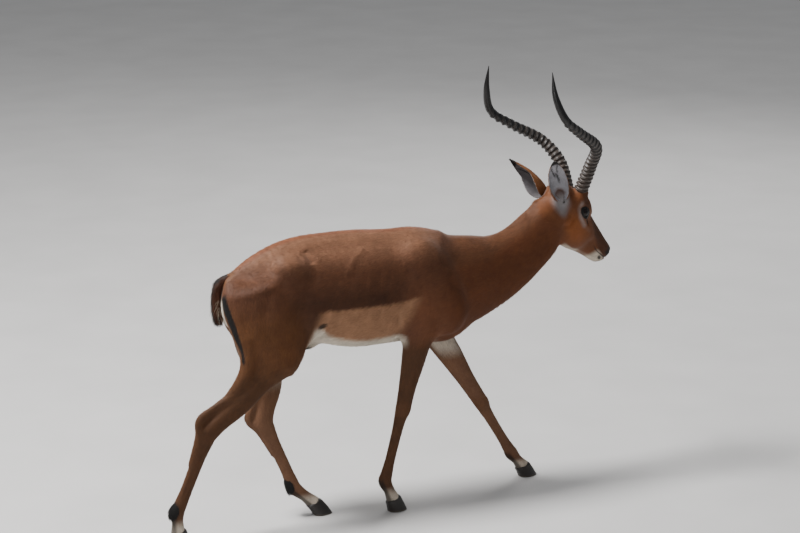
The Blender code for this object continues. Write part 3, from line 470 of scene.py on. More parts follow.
# ---------------------------------------------------------------- meshing
def surface_net(shapes, spacing):
    """Vertices and quads of the field's zero surface, one vertex to each grid cell that it crosses."""
    low = np.min([s.low for s in shapes], axis=0)
    high = np.max([s.high for s in shapes], axis=0)
    blocks = np.ceil((high - low) / (spacing * BLOCK)).astype(int)
    counts = blocks * BLOCK
    middles = low + spacing * BLOCK * (np.indices(blocks).reshape(3, -1).T + 0.5)
    coarse = flesh_field(middles, shapes).reshape(blocks)
    value = coarse.repeat(BLOCK, 0).repeat(BLOCK, 1).repeat(BLOCK, 2)
    close = np.argwhere(np.abs(coarse) < 1.6 * spacing * BLOCK)
    within = np.indices((BLOCK,) * 3).reshape(3, -1).T
    nodes = (close[:, None, :] * BLOCK + within).reshape(-1, 3)
    value[tuple(nodes.T)] = flesh_field(low + spacing * nodes, shapes)
    inside = value < 0.0
    cells = tuple(c - 1 for c in counts)
    total = np.zeros(cells + (3,))
    crossings = np.zeros(cells)
    edges = []
    for axis in range(3):
        near = [slice(None)] * 3
        far = [slice(None)] * 3
        near[axis], far[axis] = slice(0, -1), slice(1, None)
        crossed = np.argwhere(inside[tuple(near)] != inside[tuple(far)])
        step = np.eye(3, dtype=int)[axis]
        before = value[tuple(crossed.T)]
        after = value[tuple((crossed + step).T)]
        place = crossed + step * (before / (before - after))[:, None]
        others = [i for i in range(3) if i != axis]
        ring = []
        for shift in ((0, 0), (1, 0), (1, 1), (0, 1)):
            cell = crossed.copy()
            cell[:, others[0]] -= shift[0]
            cell[:, others[1]] -= shift[1]
            np.add.at(total, tuple(cell.T), place)
            np.add.at(crossings, tuple(cell.T), 1)
            ring.append(cell)
        flip = (before < 0.0) == (axis == 1)
        edges.append((np.stack(ring, axis=1), flip))
    used = crossings > 0
    number = np.full(cells, -1)
    number[used] = np.arange(used.sum())
    vertices = low + spacing * total[used] / crossings[used][:, None]
    faces = []
    for ring, flip in edges:
        quads = number[ring[..., 0], ring[..., 1], ring[..., 2]]
        quads[flip] = quads[flip][:, ::-1]
        faces.append(quads)
    return vertices, np.vstack(faces)


def ring_faces(rings, around):
    """Quads between rings of equal count, with the two ends closed."""
    faces = [tuple(range(around))[::-1], tuple((rings - 1) * around + i for i in range(around))]
    for row in range(rings - 1):
        for i in range(around):
            j = (i + 1) % around
            faces.append((row * around + i, row * around + j, (row + 1) * around + j, (row + 1) * around + i))
    return faces


def line_axes(line, side):
    """At each point of a line: its direction, and the side and front of its section."""
    along = unit(np.gradient(line, axis=0))
    across = unit(side - along * (along @ side)[:, None])
    return along, across, np.cross(along, across)


# ---------------------------------------------------------------- the skin's finer shapes
def eye_lids():
    """A shell of lid over each eyeball, opened to an almond through which the eyeball shows."""
    shapes = []
    for side in (-1, 1):
        along, out, up = EYE_PLACE[0], side * EYE_PLACE[1], EYE_PLACE[2]
        shell = EYE_RADIUS + LID_THICKNESS
        shapes += [
            Lump((along, out, up), (shell, shell, shell), 0.006, frame=HEAD),
            Lump((along + 0.012, out + side * 0.004, up - 0.007), (0.014, 0.010, 0.007), 0.006, 25,
                 frame=HEAD),                                  # tear corner
            Lump((along, out + side * 0.0185, up), LID_OPENING, 0.0015, 18, frame=HEAD, hollow=True)]
    return shapes


GROUPS = {"trunk": trunk_shapes(), "neck": neck_shapes(), "head": head_shapes() + eye_lids()}
GROUPS.update({name: leg_shapes(name) for name in LEGS})
REGIONS = list(GROUPS)


def region_values(points):
    """How far each point is from each region's own shapes, one column to a region."""
    columns = []
    for shapes in GROUPS.values():
        value = np.full(len(points), FAR)
        for shape in shapes:
            if not shape.hollow:
                near = inside_box(points, shape.low, shape.high)
                if len(near):
                    value[near] = np.minimum(value[near], shape.field(points[near]))
        columns.append(value)
    return np.column_stack(columns)


def refine(vertices, triangles, chosen):
    """Halves every edge whose two ends are chosen."""
    ends = np.sort(triangles[:, [0, 1, 1, 2, 2, 0]].reshape(-1, 2), axis=1)
    edges, number = np.unique(ends, axis=0, return_inverse=True)
    split = chosen[edges].all(axis=1)
    middle = np.full(len(edges), -1)
    middle[split] = len(vertices) + np.arange(split.sum())
    added = vertices[edges[split]].mean(axis=1)
    middles = middle[number.reshape(-1)].reshape(-1, 3)
    corners = triangles.copy()
    count = (middles >= 0).sum(axis=1)
    parts = [corners[count == 0]]
    for wanted, first in ((1, middles >= 0), (2, middles < 0)):
        at = np.nonzero(count == wanted)[0]
        turn = first[at].argmax(axis=1)[:, None]
        if wanted == 2:
            turn = turn + 1
        ring = (np.arange(3) + turn) % 3
        a, b, c = np.take_along_axis(corners[at], ring, axis=1).T
        m, n, _ = np.take_along_axis(middles[at], ring, axis=1).T
        if wanted == 1:
            parts += [np.stack([a, m, c], 1), np.stack([m, b, c], 1)]
        else:
            parts += [np.stack([m, b, n], 1), np.stack([a, m, n], 1), np.stack([a, n, c], 1)]
    full = count == 3
    (a, b, c), (m, n, o) = corners[full].T, middles[full].T
    parts += [np.stack(t, 1) for t in ((a, m, o), (m, b, n), (o, n, c), (m, n, o))]
    return np.vstack([vertices, added]), np.vstack(parts)


def vertex_normals(vertices, triangles):
    """Unit normals, weighted by the area of the triangles round each vertex."""
    a, b, c = (vertices[triangles[:, i]] for i in range(3))
    faces = np.cross(b - a, c - a)
    normals = np.zeros_like(vertices)
    for i in range(3):
        for axis in range(3):
            normals[:, axis] += np.bincount(triangles[:, i], faces[:, axis], len(vertices))
    return unit(normals)


def settle(vertices, shapes, depth, rounds=3, probe=0.0006):
    """Moves vertices, down the field's slope, to the given depth inside its zero surface."""
    probes = np.array(((1, -1, -1), (-1, -1, 1), (-1, 1, -1), (1, 1, 1))) * probe
    for _ in range(rounds):
        fields = np.array([flesh_field(vertices + step, shapes) for step in probes])
        value = fields.mean(axis=0) + depth
        slope = fields.T @ probes / (4.0 * probe ** 2)
        move = value / np.maximum(np.sum(slope ** 2, axis=1), 0.3)
        vertices = vertices - slope * np.clip(move, -SETTLE_STEP, SETTLE_STEP)[:, None]
    return vertices


def neighbour_mean(values, edges, count):
    """The mean of each vertex's neighbours."""
    total = np.zeros_like(values)
    for axis in range(values.shape[1]):
        total[:, axis] = (np.bincount(edges[:, 0], values[edges[:, 1], axis], count)
                          + np.bincount(edges[:, 1], values[edges[:, 0], axis], count))
    degree = np.bincount(edges.ravel(), minlength=count)
    return total / np.maximum(degree, 1)[:, None]


def edges_of(triangles):
    """Each edge once, as two vertex numbers."""
    return np.unique(np.sort(triangles[:, [0, 1, 1, 2, 2, 0]].reshape(-1, 2), axis=1), axis=0)


def line_distance(points, path):
    """Distance from each point to a line through the path's points, and the share of the way along it."""
    path = np.asarray(path, float)
    lengths = np.linalg.norm(np.diff(path, axis=0), axis=1)
    starts = np.concatenate([[0.0], np.cumsum(lengths)])
    best, share = np.full(len(points), np.inf), np.zeros(len(points))
    for i, (start, end) in enumerate(zip(path, path[1:])):
        t = np.clip((points - start) @ (end - start) / lengths[i] ** 2, 0.0, 1.0)
        distance = np.linalg.norm(points - start - t[:, None] * (end - start), axis=1)
        closer = distance < best
        best[closer] = distance[closer]
        share[closer] = (starts[i] + t[closer] * lengths[i]) / starts[-1]
    return best, share


def both_sides(path, frame):
    """A path as given and mirrored, in world axes."""
    path = np.asarray(path, float)
    return [frame.place(path * (1.0, side, 1.0)) for side in (-1, 1)]


# folds pressed into the skin, or raised if the depth is negative: half-width, depth, and a path
MOUTH = (
    (0.203, 0.000, -0.004), (0.197, 0.012, -0.009), (0.180, 0.021, -0.017), (0.155, 0.026, -0.023),
    (0.132, 0.028, -0.025))
HEAD_FOLDS = (
    (0.0022, 0.0035, MOUTH),
    # nostril, under the nose, tear groove
    (0.0030, 0.0055, ((0.198, 0.007, 0.010), (0.195, 0.012, 0.016), (0.188, 0.017, 0.018),
                      (0.180, 0.020, 0.014))),
    (0.0016, 0.0016, ((0.203, 0.000, 0.016), (0.206, 0.000, 0.006), (0.205, 0.000, -0.003))),
    (0.0032, 0.0022, ((0.019, 0.050, -0.008), (0.032, 0.043, -0.014), (0.046, 0.039, -0.018))),
    # upper and lower lid
    (0.0024, 0.0012, ((-0.024, 0.052, 0.010), (-0.006, 0.056, 0.016), (0.012, 0.053, 0.012))),
    (0.0024, 0.0010, ((-0.018, 0.053, -0.014), (0.000, 0.055, -0.017), (0.016, 0.050, -0.015))),
    # under the cheek bone, beside the nose, behind the jaw
    (0.0090, 0.0016, ((0.000, 0.046, -0.045), (0.040, 0.044, -0.040), (0.080, 0.036, -0.036),
                      (0.120, 0.030, -0.030))),
    (0.0070, 0.0012, ((0.060, 0.034, 0.014), (0.100, 0.030, 0.010), (0.140, 0.027, 0.006))),
    (0.0080, 0.0022, ((-0.030, 0.040, -0.095), (-0.010, 0.044, -0.070), (-0.020, 0.048, -0.040))))
BODY_FOLDS = (
    # behind the elbow, behind the shoulder, between neck and shoulder, the shoulder blade's spine
    (0.012, 0.0040, ((0.130, 0.105, 0.560), (0.128, 0.116, 0.610), (0.118, 0.118, 0.665))),
    (0.016, 0.0022, ((0.165, 0.100, 0.800), (0.140, 0.118, 0.730), (0.135, 0.122, 0.670))),
    (0.022, 0.0026, ((0.305, 0.070, 0.820), (0.335, 0.092, 0.750), (0.350, 0.092, 0.680),
                     (0.340, 0.080, 0.620))),
    (0.012, -0.0012, ((0.240, 0.060, 0.840), (0.262, 0.090, 0.765), (0.290, 0.105, 0.690))),
    # at the flank, before the thigh, within the thigh, the hamstring, before the hip bone
    (0.014, 0.0045, ((-0.200, 0.090, 0.560), (-0.190, 0.108, 0.610), (-0.196, 0.112, 0.660))),
    (0.020, 0.0030, ((-0.150, 0.100, 0.820), (-0.185, 0.112, 0.760), (-0.205, 0.116, 0.700))),
    (0.018, 0.0022, ((-0.300, 0.100, 0.780), (-0.330, 0.115, 0.700), (-0.325, 0.118, 0.620))),
    (0.012, 0.0026, ((-0.385, 0.070, 0.700), (-0.370, 0.100, 0.640), (-0.355, 0.110, 0.570))),
    (0.012, 0.0045, ((-0.172, 0.048, 0.868), (-0.162, 0.068, 0.852), (-0.150, 0.084, 0.830))),
    # loose skin on the side
    (0.0100, -0.0020, ((0.024, 0.062, 0.864), (-0.020, 0.088, 0.838), (-0.040, 0.101, 0.811),
                       (-0.050, 0.107, 0.786))))
RIB_TOPS = (-0.075, -0.030, 0.015, 0.058, 0.098)       # where the ribs that show begin, along the back
RIB_WIDTH, RIB_DEPTH = 0.008, 0.0011
TENDON_STOPS = (0.22, 0.50, 0.84)                      # shares of the way down a cannon bone
TENDON_WIDTH, TENDON_DEPTH = 0.0045, 0.0022
FOLD_FADE = 0.18                                       # share of a fold's length over which each end fades
FOLD_REACH = 3.0                                       # in half-widths
NARROW, AT_MIDDLE = 0.003, 0.012                       # a fold this narrow and central starts at full depth


def all_folds():
    """Every fold as a world path, half-width and depth."""
    folds = []
    for frame_of, rows in ((HEAD, HEAD_FOLDS), (WORLD, BODY_FOLDS)):
        for width, depth, path in rows:
            folds += [(line, width, depth) for line in both_sides(path, frame_of)]
    for top in RIB_TOPS:
        path = []
        for t in np.linspace(0, 1, 6):
            path.append((top - 0.055 * t, 0.122 - 0.02 * abs(t - 0.4), 0.810 - 0.190 * t))
        folds += [(line, RIB_WIDTH, RIB_DEPTH) for line in both_sides(path, WORLD)]
    for leg in LEGS.values():
        joints = np.array(leg["joints"])
        top, bottom = joints[2], joints[3]
        way = bottom - top
        behind = np.cross((0.0, 1.0, 0.0), way / np.linalg.norm(way))
        for side in (-1, 1):
            path = [top + way * t + behind * 0.006 + (0.0, side * 0.014, 0.0) for t in TENDON_STOPS]
            folds.append((path, TENDON_WIDTH, TENDON_DEPTH))
    return folds


def tree_of(points):
    """A tree that finds the nearest of the points."""
    tree = KDTree(len(points))
    for i, point in enumerate(points):
        tree.insert(point, i)
    tree.balance()
    return tree


def laid(path, tree):
    """A path made finer and laid on the skin."""
    points = np.array([tree.find(point)[0] for point in smooth_line(path, LINE_STEPS)])
    return evened(evened(points))


def soften_cheeks(vertices, triangles):
    """Evens out the skin where the cheeks run into the muzzle, so that no edge shows there."""
    edges = edges_of(triangles)
    centre, inner, outer = CHEEK_FRONT
    weight = np.zeros(len(vertices))
    for place in both_sides([centre], HEAD):
        weight += smoothstep(outer, inner, np.linalg.norm(vertices - place[0], axis=1))
    for _ in range(CHEEK_ROUNDS):
        mean = neighbour_mean(vertices, edges, len(vertices))
        vertices = vertices + 0.5 * weight[:, None] * (mean - vertices)
    return vertices


def press_folds(vertices, triangles):
    """Presses the folds into the skin along its normals, fading towards each fold's ends."""
    normals = vertex_normals(vertices, triangles)
    tree = tree_of(vertices)
    move = np.zeros(len(vertices))
    for path, width, depth in all_folds():
        path = laid(path, tree)
        reach = FOLD_REACH * width
        close = inside_box(vertices, path.min(0) - reach, path.max(0) + reach)
        if len(close) == 0:
            continue
        distance, share = line_distance(vertices[close], path)
        fade = smoothstep(1.0, 1.0 - FOLD_FADE, share)
        if width >= NARROW or abs(path[0][1] - HEAD.origin[1]) >= AT_MIDDLE:
            fade = smoothstep(0.0, FOLD_FADE, share) * fade
        move[close] += depth * fade * np.exp(-(distance / width) ** 2)
    return vertices - normals * move[:, None]


# ---------------------------------------------------------------- ears and tail, joined to the skin
def ear_axes(name):
    """An ear's root, the way to its tip, the way its cup opens, and across it."""
    place, tip_way, opening = EAR_WAYS[name][:3]
    root = HEAD.place(place)
    way = np.array(tip_way) @ HEAD.axes
    way /= np.linalg.norm(way)
    open_way = np.array(opening, float)
    open_way -= way * (open_way @ way)
    open_way /= np.linalg.norm(open_way)
    return root, way, open_way, np.cross(way, open_way)


def ear_curl(name, share, inset):
    """At a share of an ear's length: the hub that its cup curls round, the radius and half its angle."""
    root, way, open_way, _ = ear_axes(name)
    bow, spread_wide, power = EAR_WAYS[name][3:]
    leaf = 0.50 * (1.0 - share) ** 2 + math.sin(math.pi * share ** 0.80) ** power
    spread = math.radians(150.0 - 80.0 * min(share / 0.55, 1.0))
    bend = (spread_wide * leaf + 0.0025 - inset) / math.sin(min(spread, math.pi / 2))
    middle = root + way * (EAR_LENGTH - inset) * share - open_way * bow * math.sin(math.pi * share)
    return middle + open_way * bend * 0.5, bend, spread


def ear_surface(name, rows, columns, inset):
    """Outer and inner points of an ear's cup, row by row from its root."""
    _, _, open_way, across = ear_axes(name)
    outer, inner = [], []
    for share in np.linspace(0.0, 1.0, rows):
        hub, bend, spread = ear_curl(name, share, inset)
        for column in range(columns):
            angle = spread * (2.0 * column / (columns - 1) - 1.0)
            direction = across * math.sin(angle) - open_way * math.cos(angle)
            thinned = (1.0 - 0.70 * (abs(angle) / spread) ** 3) * (1.0 - 0.4 * share)
            outer.append(hub + direction * bend)
            inner.append(hub + direction * (bend - (EAR_THICKNESS - inset) * thinned))
    return np.array(outer), np.array(inner)


def ear_mesh(name, rows=EAR_ROWS, columns=EAR_COLUMNS):
    """Vertices and faces of an ear as a closed cup."""
    outer, inner = ear_surface(name, rows, columns, EAR_INSET)
    count = rows * columns
    faces = []
    for row in range(rows - 1):
        for column in range(columns - 1):
            a, b = row * columns + column, row * columns + column + 1
            c, d = b + columns, a + columns
            faces += [(a, b, c, d), (count + d, count + c, count + b, count + a)]
        left, right = row * columns, (row + 1) * columns - 1
        for a, d in ((left, left + columns), (right + columns, right)):
            faces.append((a, d, count + d, count + a))
    for start, flip in ((0, True), ((rows - 1) * columns, False)):
        for column in range(columns - 1):
            a = start + column
            face = (a, a + 1, count + a + 1, count + a)
            faces.append(face[::-1] if flip else face)
    return np.vstack([outer, inner]), faces


def tail_mesh(around=DOCK_AROUND):
    """Vertices and faces of the tail's dock, thinner than the tail by its long hair."""
    line = smooth_line(TAIL_STATIONS, 10)[:DOCK_ROWS]
    _, across, front = line_axes(line[:, :3], np.array((0.0, 1.0, 0.0)))
    vertices = []
    for row, station in enumerate(line):
        slim = DOCK_SHARE * (1.0 - 0.35 * row / len(line))
        for angle in np.linspace(0.0, 2.0 * math.pi, around, endpoint=False):
            offset = across[row] * math.cos(angle) * station[3] + front[row] * math.sin(angle) * station[4]
            vertices.append(station[:3] + offset * slim)
    return np.array(vertices), ring_faces(len(line), around)


def plain_object(name, vertices, faces):
    """A mesh object in the frame the model is shown in, with its normals facing out."""
    mesh = bpy.data.meshes.new(name)
    placed = np.asarray(vertices) - (*CENTRE, 0.0)
    mesh.from_pydata(placed.tolist(), [], [tuple(int(i) for i in f) for f in faces])
    made = bpy.data.objects.new(name, mesh)
    bpy.context.scene.collection.objects.link(made)
    work = bmesh.new()
    work.from_mesh(mesh)
    bmesh.ops.recalc_face_normals(work, faces=work.faces)
    if work.calc_volume(signed=True) < 0.0:
        bmesh.ops.reverse_faces(work, faces=work.faces)
    work.to_mesh(mesh)
    work.free()
    mesh.shade_smooth()
    return made


def mesh_arrays(mesh):
    """A mesh's vertices, back in the axes that the body is described in, and its triangles."""
    vertices = np.empty(3 * len(mesh.vertices))
    mesh.vertices.foreach_get("co", vertices)
    mesh.calc_loop_triangles()
    triangles = np.empty(3 * len(mesh.loop_triangles), np.int32)
    mesh.loop_triangles.foreach_get("vertices", triangles)
    return vertices.reshape(-1, 3) + (*CENTRE, 0.0), triangles.reshape(-1, 3).astype(int)


def joined(body, pieces):
    """The body with the pieces grown together with it."""
    for piece in pieces:
        modifier = body.modifiers.new("Join", "BOOLEAN")
        modifier.operation, modifier.object, modifier.solver = "UNION", piece, "EXACT"
        evaluated = body.evaluated_get(bpy.context.evaluated_depsgraph_get())
        body.data = bpy.data.meshes.new_from_object(evaluated)
        body.modifiers.clear()
        bpy.data.objects.remove(piece)
    return body


# ---------------------------------------------------------------- regions and the lie of the hair
def region_lines():
    """For each region, the line that its hair and its unwrap follow, in the direction the hair lies."""
    lines = {
        "trunk": np.array([(0.36, 0.0, 0.70), (-0.48, 0.0, 0.70)]),
        "neck": np.array([
            (0.72, 0.028, 0.885), (0.60, 0.013, 0.785), (0.45, 0.0, 0.715), (0.25, 0.0, 0.695)]),
        "head": HEAD.place([(0.215, 0.0, -0.01), (-0.14, 0.0, -0.02)]),
        "tail": np.array(TAIL_STATIONS)[:, :3],
    }
    for name, leg in LEGS.items():
        joints = np.array(leg["joints"])
        lines[name] = np.vstack([joints, [(*leg["sole"], 0.0)]])
    for name in EAR_WAYS:
        root, way, _, _ = ear_axes(name)
        lines[name] = np.array([root, root + way * EAR_LENGTH])
    return lines


LINES = region_lines()
NAMES = list(LINES)


def coat_depth(points):
    """How far the skin lies in: deepest on the body, less on legs and head, least at eyes and muzzle."""
    depth = np.full(len(points), BODY_DEPTH)
    legs = smoothstep(0.52, 0.42, points[:, 2])
    depth += (LEG_DEPTH - depth) * legs
    local = (points - HEAD.origin) @ HEAD.axes.T
    head = smoothstep(0.21, 0.13, np.linalg.norm(local - (0.06, 0.0, -0.03), axis=1))
    depth += (HEAD_DEPTH - depth) * head
    muzzle = smoothstep(0.060, 0.035, np.linalg.norm(local - (0.190, 0.0, -0.005), axis=1))
    depth += (BARE_DEPTH - depth) * muzzle
    for side in (-1, 1):
        eye = smoothstep(0.036, 0.026, np.linalg.norm(local - np.array(EYE_PLACE) * (1, side, 1), axis=1))
        depth += (BARE_DEPTH - depth) * eye
    return depth


def make_skin():
    """The skin as one closed mesh with ears and tail grown on: an object, its vertices and its triangles."""
    shapes = [shape for group in GROUPS.values() for shape in group]
    vertices, quads = surface_net(shapes, GRID)
    triangles = np.vstack([quads[:, [0, 1, 2]], quads[:, [0, 2, 3]]])
    vertices = settle(vertices, shapes, coat_depth(vertices))
    for places in FINE_PLACES:
        chosen = np.zeros(len(vertices), bool)
        for centre, radius in places:
            chosen |= np.linalg.norm(vertices - HEAD.place(centre), axis=1) < radius
        vertices, triangles = refine(vertices, triangles, chosen)
        near = np.zeros(len(vertices), bool)
        for centre, radius in places:
            near |= np.linalg.norm(vertices - HEAD.place(centre), axis=1) < radius + GRID
        vertices[near] = settle(vertices[near], shapes, coat_depth(vertices[near]))
    vertices = press_folds(soften_cheeks(vertices, triangles), triangles)
    body = plain_object("impala_skin", vertices, triangles)
    pieces = [plain_object(name, *ear_mesh(name)) for name in EAR_WAYS]
    pieces.append(plain_object("dock", *tail_mesh()))
    body = joined(body, pieces)
    vertices, triangles = mesh_arrays(body.data)
    return body, vertices, triangles


def name_regions(vertices, edges):
    """Each vertex's softened shares of the regions, one column to a name in NAMES, and its own region."""
    values = region_values(vertices)
    share = np.zeros((len(vertices), len(NAMES)))
    nearest = values.argmin(axis=1)
    share[np.arange(len(vertices)), [NAMES.index(REGIONS[i]) for i in nearest]] = 1.0
    for name in EAR_WAYS:
        tree = tree_of(np.vstack(ear_surface(name, 40, 31, EAR_INSET)))
        close = np.nonzero(np.linalg.norm(vertices - LINES[name].mean(0), axis=1) < EAR_NEAR)[0]
        on = [i for i in close if tree.find(vertices[i])[2] < ON_EAR and values[i].min() > -0.0005]
        share[on] = 0.0
        share[on, NAMES.index(name)] = 1.0
    distance, _ = line_distance(vertices, LINES["tail"])
    on = (distance < ON_TAIL) & (values.min(axis=1) > 0.0)
    share[on] = 0.0
    share[on, NAMES.index("tail")] = 1.0
    hard = share.argmax(axis=1)
    for _ in range(SHARE_ROUNDS):
        share = 0.5 * share + 0.5 * neighbour_mean(share, edges, len(vertices))
    return share, hard


def hair_lie(vertices, normals, share, edges):
    """The way the hair lies at each vertex, along the skin."""
    lie = np.zeros_like(vertices)
    for column, name in enumerate(NAMES):
        used = np.nonzero(share[:, column] > 0.001)[0]
        if len(used) == 0:
            continue
        line, points = LINES[name], vertices[used]
        if name == "trunk":
            way = np.tile((-1.0, 0.0, -0.30), (len(used), 1))
            way[:, 2] -= 1.6 * smoothstep(-0.30, -0.42, points[:, 0])           # down the rump
            way[:, 2] += 0.3 * smoothstep(0.58, 0.54, points[:, 2])             # level under the belly
            way[:, 2] -= 0.5 * smoothstep(0.20, 0.34, points[:, 0])             # down the brisket
        else:
            best, way = np.full(len(used), np.inf), np.zeros((len(used), 3))
            for start, end in zip(line, line[1:]):
                distance, _ = line_distance(points, [start, end])
                closer = distance < best
                best[closer] = distance[closer]
                way[closer] = (end - start) / np.linalg.norm(end - start)
        if name.startswith(("hind", "fore")):
            way = way + np.array((-0.35, 0.0, 0.0)) * smoothstep(0.45, 0.65, points[:, 2])[:, None]
        lie[used] += way * share[used, column][:, None]
    for _ in range(LIE_ROUNDS):
        lie = along_skin(0.5 * lie + 0.5 * neighbour_mean(lie, edges, len(vertices)), normals)
    return lie


# ---------------------------------------------------------------- markings
def linear(red, green, blue):
    """A colour as shaders take it, from its 0-255 display values."""
    value = np.array((red, green, blue)) / 255.0
    return np.where(value < 0.04045, value / 12.92, ((value + 0.055) / 1.055) ** 2.4)


# SPINE_SUNLIT: the ridge of the back, lighter with painted sunlight
SADDLE, SPINE_SUNLIT = linear(97, 59, 37), linear(126, 74, 46)
SUNLIT, SHADED = linear(158, 112, 84), linear(62, 34, 16)      # painted sunlight on the saddle's top, and painted shade along its lower edge
THIGH, SHOULDER, FLANK = linear(102, 62, 31), linear(116, 71, 45), linear(162, 119, 88)
BELLY, GREY = linear(218, 206, 188), linear(146, 144, 146)
NECK, NAPE, LEG, FACE = linear(107, 61, 33), linear(106, 66, 41), linear(84, 52, 27), linear(113, 65, 33)
BAND, BLACK, EAR_BACK = linear(82, 47, 25), linear(14, 11, 10), linear(122, 78, 46)
# EAR_CUP_SHADE: painted shade for the middle of the left ear's cup
EAR_INSIDE, EAR_CUP_SHADE = linear(182, 180, 186), linear(58, 48, 44)
INSIDE, KNEE = linear(126, 89, 65), linear(104, 66, 38)        # where the legs face each other; fore knees
CHEEK, EYE_STRIP, BROW = linear(156, 90, 46), linear(158, 146, 140), linear(150, 118, 88)
TAIL_TOP = linear(74, 40, 22)
RUMP_STRIPE = (
    (-0.435, 0.053, 0.748), (-0.433, 0.060, 0.733), (-0.429, 0.075, 0.700), (-0.420, 0.090, 0.656),
    (-0.409, 0.101, 0.611), (-0.398, 0.108, 0.562))
EAR_STREAKS = (                # of the dark streaks in an ear: off its middle, half-width, from, up to
    (-0.009, 0.0020, 0.30, 0.78), (0.001, 0.0026, 0.16, 0.55), (0.010, 0.0018, 0.42, 0.86))


def lid_level(ahead, out):
    """How far places on the side of the head are from the eye's middle, 1 at the edge of its lids."""
    return np.hypot((ahead - 0.001) / 0.0225, (out + 0.0005) / 0.0170)


class Paint:
    """Colours at a set of points, painted over in layers."""

    def __init__(self, points, colour):
        self.points = points
        self.colour = np.zeros((len(points), 3)) + colour

    def over(self, colour, weight):
        """Lays a colour on, as strongly as the weight, 0 to 1, says at each point."""
        self.colour = self.colour + (colour - self.colour) * np.clip(weight, 0.0, 1.0)[:, None]

    def blob(self, colour, centre, radii, strength=1.0, soft=0.4):
        """A soft-edged oval spot."""
        level = np.linalg.norm((self.points - centre) / radii, axis=1)
        self.over(colour, strength * smoothstep(1.0 + soft, 1.0 - soft, level))

    def stroke(self, colour, path, width, soft, strength=1.0, end_width=None):
        """A stripe along a path, from one half-width to another."""
        distance, share = line_distance(self.points, path)
        half = width + ((end_width if end_width is not None else width) - width) * share
        self.over(colour, strength * smoothstep(half + soft, half - soft, distance))


def wavy(points, size, seed):
    """A gentle uneven pattern between -1 and 1, for borders and faint blotches."""
    random = np.random.default_rng(seed)
    total = np.zeros(len(points))
    for octave in range(5):
        way = random.normal(size=(3, 3))
        phase = random.uniform(0, 6.28, 3)
        waves = np.sin(points @ (way / np.linalg.norm(way, axis=0)) * 6.28 / size * 1.6 ** octave + phase)
        total += waves.prod(axis=1) * 0.75 ** octave
    return np.clip(total, -1.0, 1.0)


# every painter takes points of the skin and their normals, and gives a colour for each
def paint_trunk(points, _):
    """Dark saddle, pale flank band, white belly and the striped rump."""
    x, y, z = points.T
    edge = wavy(points, 0.05, 3) * 0.0035
    paint = Paint(points, SADDLE)
    # painted sunlight over the top of the back, stronger along its ridge
    paint.over(SUNLIT, 0.62 * smoothstep(0.790, 0.870, z))
    paint.over(SPINE_SUNLIT, smoothstep(0.025, 0.008, np.abs(y)) * smoothstep(0.80, 0.84, z))
    # painted shade along the saddle's lower edge, over the barrel
    below = smoothstep(0.790, 0.710, z) * smoothstep(-0.300, -0.200, x) * smoothstep(0.150, 0.050, x)
    paint.over(SHADED, 0.65 * below)
    paint.over(THIGH, smoothstep(-0.150, -0.260, x) * smoothstep(0.760, 0.640, z))
    paint.over(SHOULDER, smoothstep(0.110, 0.200, x) * smoothstep(0.780, 0.660, z))
    paint.over(NECK, smoothstep(0.240, 0.330, x))
    top = 0.688 + 0.010 * smoothstep(0.11, 0.19, x) + edge
    low = np.interp(x, (-0.18, -0.135, -0.11, -0.08, -0.03, 0.04, 0.11, 0.20),
                    (0.640, 0.632, 0.604, 0.588, 0.575, 0.570, 0.578, 0.560))
    front = 0.185 - (0.695 - z) * 0.55
    rear = -0.150 - (0.669 - z) * 0.45
    band = smoothstep(top + 0.008, top - 0.008, z) * smoothstep(front + 0.022, front - 0.030, x)
    band *= smoothstep(rear - 0.018, rear + 0.022, x)
    paint.over(FLANK, band)
    white = smoothstep(low + 0.014, low - 0.012, z + edge) * smoothstep(rear - 0.010, rear + 0.014, x)
    paint.over(BELLY, white * smoothstep(0.152, 0.132, x))
    chest = smoothstep(0.060, 0.035, np.abs(y)) * smoothstep(0.600, 0.570, z) * smoothstep(0.30, 0.20, x)
    paint.over(BELLY, chest)
    groin = smoothstep(0.075, 0.040, np.abs(y)) * smoothstep(0.640, 0.610, z) * smoothstep(-0.10, -0.16, x)
    paint.over(BELLY, groin)
    mirrored = Paint(np.column_stack([x, np.abs(y), z]), paint.colour)
    rump = smoothstep(0.056, 0.042, np.abs(y)) * smoothstep(-0.385, -0.410, x)
    mirrored.over(BELLY, rump * smoothstep(0.755, 0.735, z) * smoothstep(0.56, 0.60, z))
    within = smoothstep(0.086, 0.072, np.abs(y)) * smoothstep(-0.345, -0.375, x)
    mirrored.over(INSIDE, within * smoothstep(0.67, 0.60, z))
    mirrored.stroke(BLACK, RUMP_STRIPE, 0.0145, 0.0025, end_width=0.0095)
    # painted shade: a dark spot low on each flank, before the thigh, for the shade in the fold there
    mirrored.blob(BLACK, (-0.136, 0.100, 0.643), (0.017, 0.030, 0.0085), 0.9)
    mirrored.blob(BLACK, (-0.152, 0.0, 0.544), (0.024, 0.022, 0.016), 0.95)
    return mirrored.colour


def paint_neck(points, _):
    """Tan neck, richer along the nape and paler under the throat."""
    line = LINES["neck"]
    below = np.interp(points[:, 0], line[::-1, 0], line[::-1, 2]) - points[:, 2]
    paint = Paint(points, NECK)
    paint.over(NAPE, smoothstep(-0.045, -0.085, below))
    paint.over(SADDLE, 0.6 * smoothstep(0.40, 0.28, points[:, 0]) * smoothstep(-0.05, -0.11, below))
    paint.over(FACE, 0.5 * smoothstep(0.050, 0.090, below) * smoothstep(0.52, 0.60, points[:, 0]))
    return paint.colour


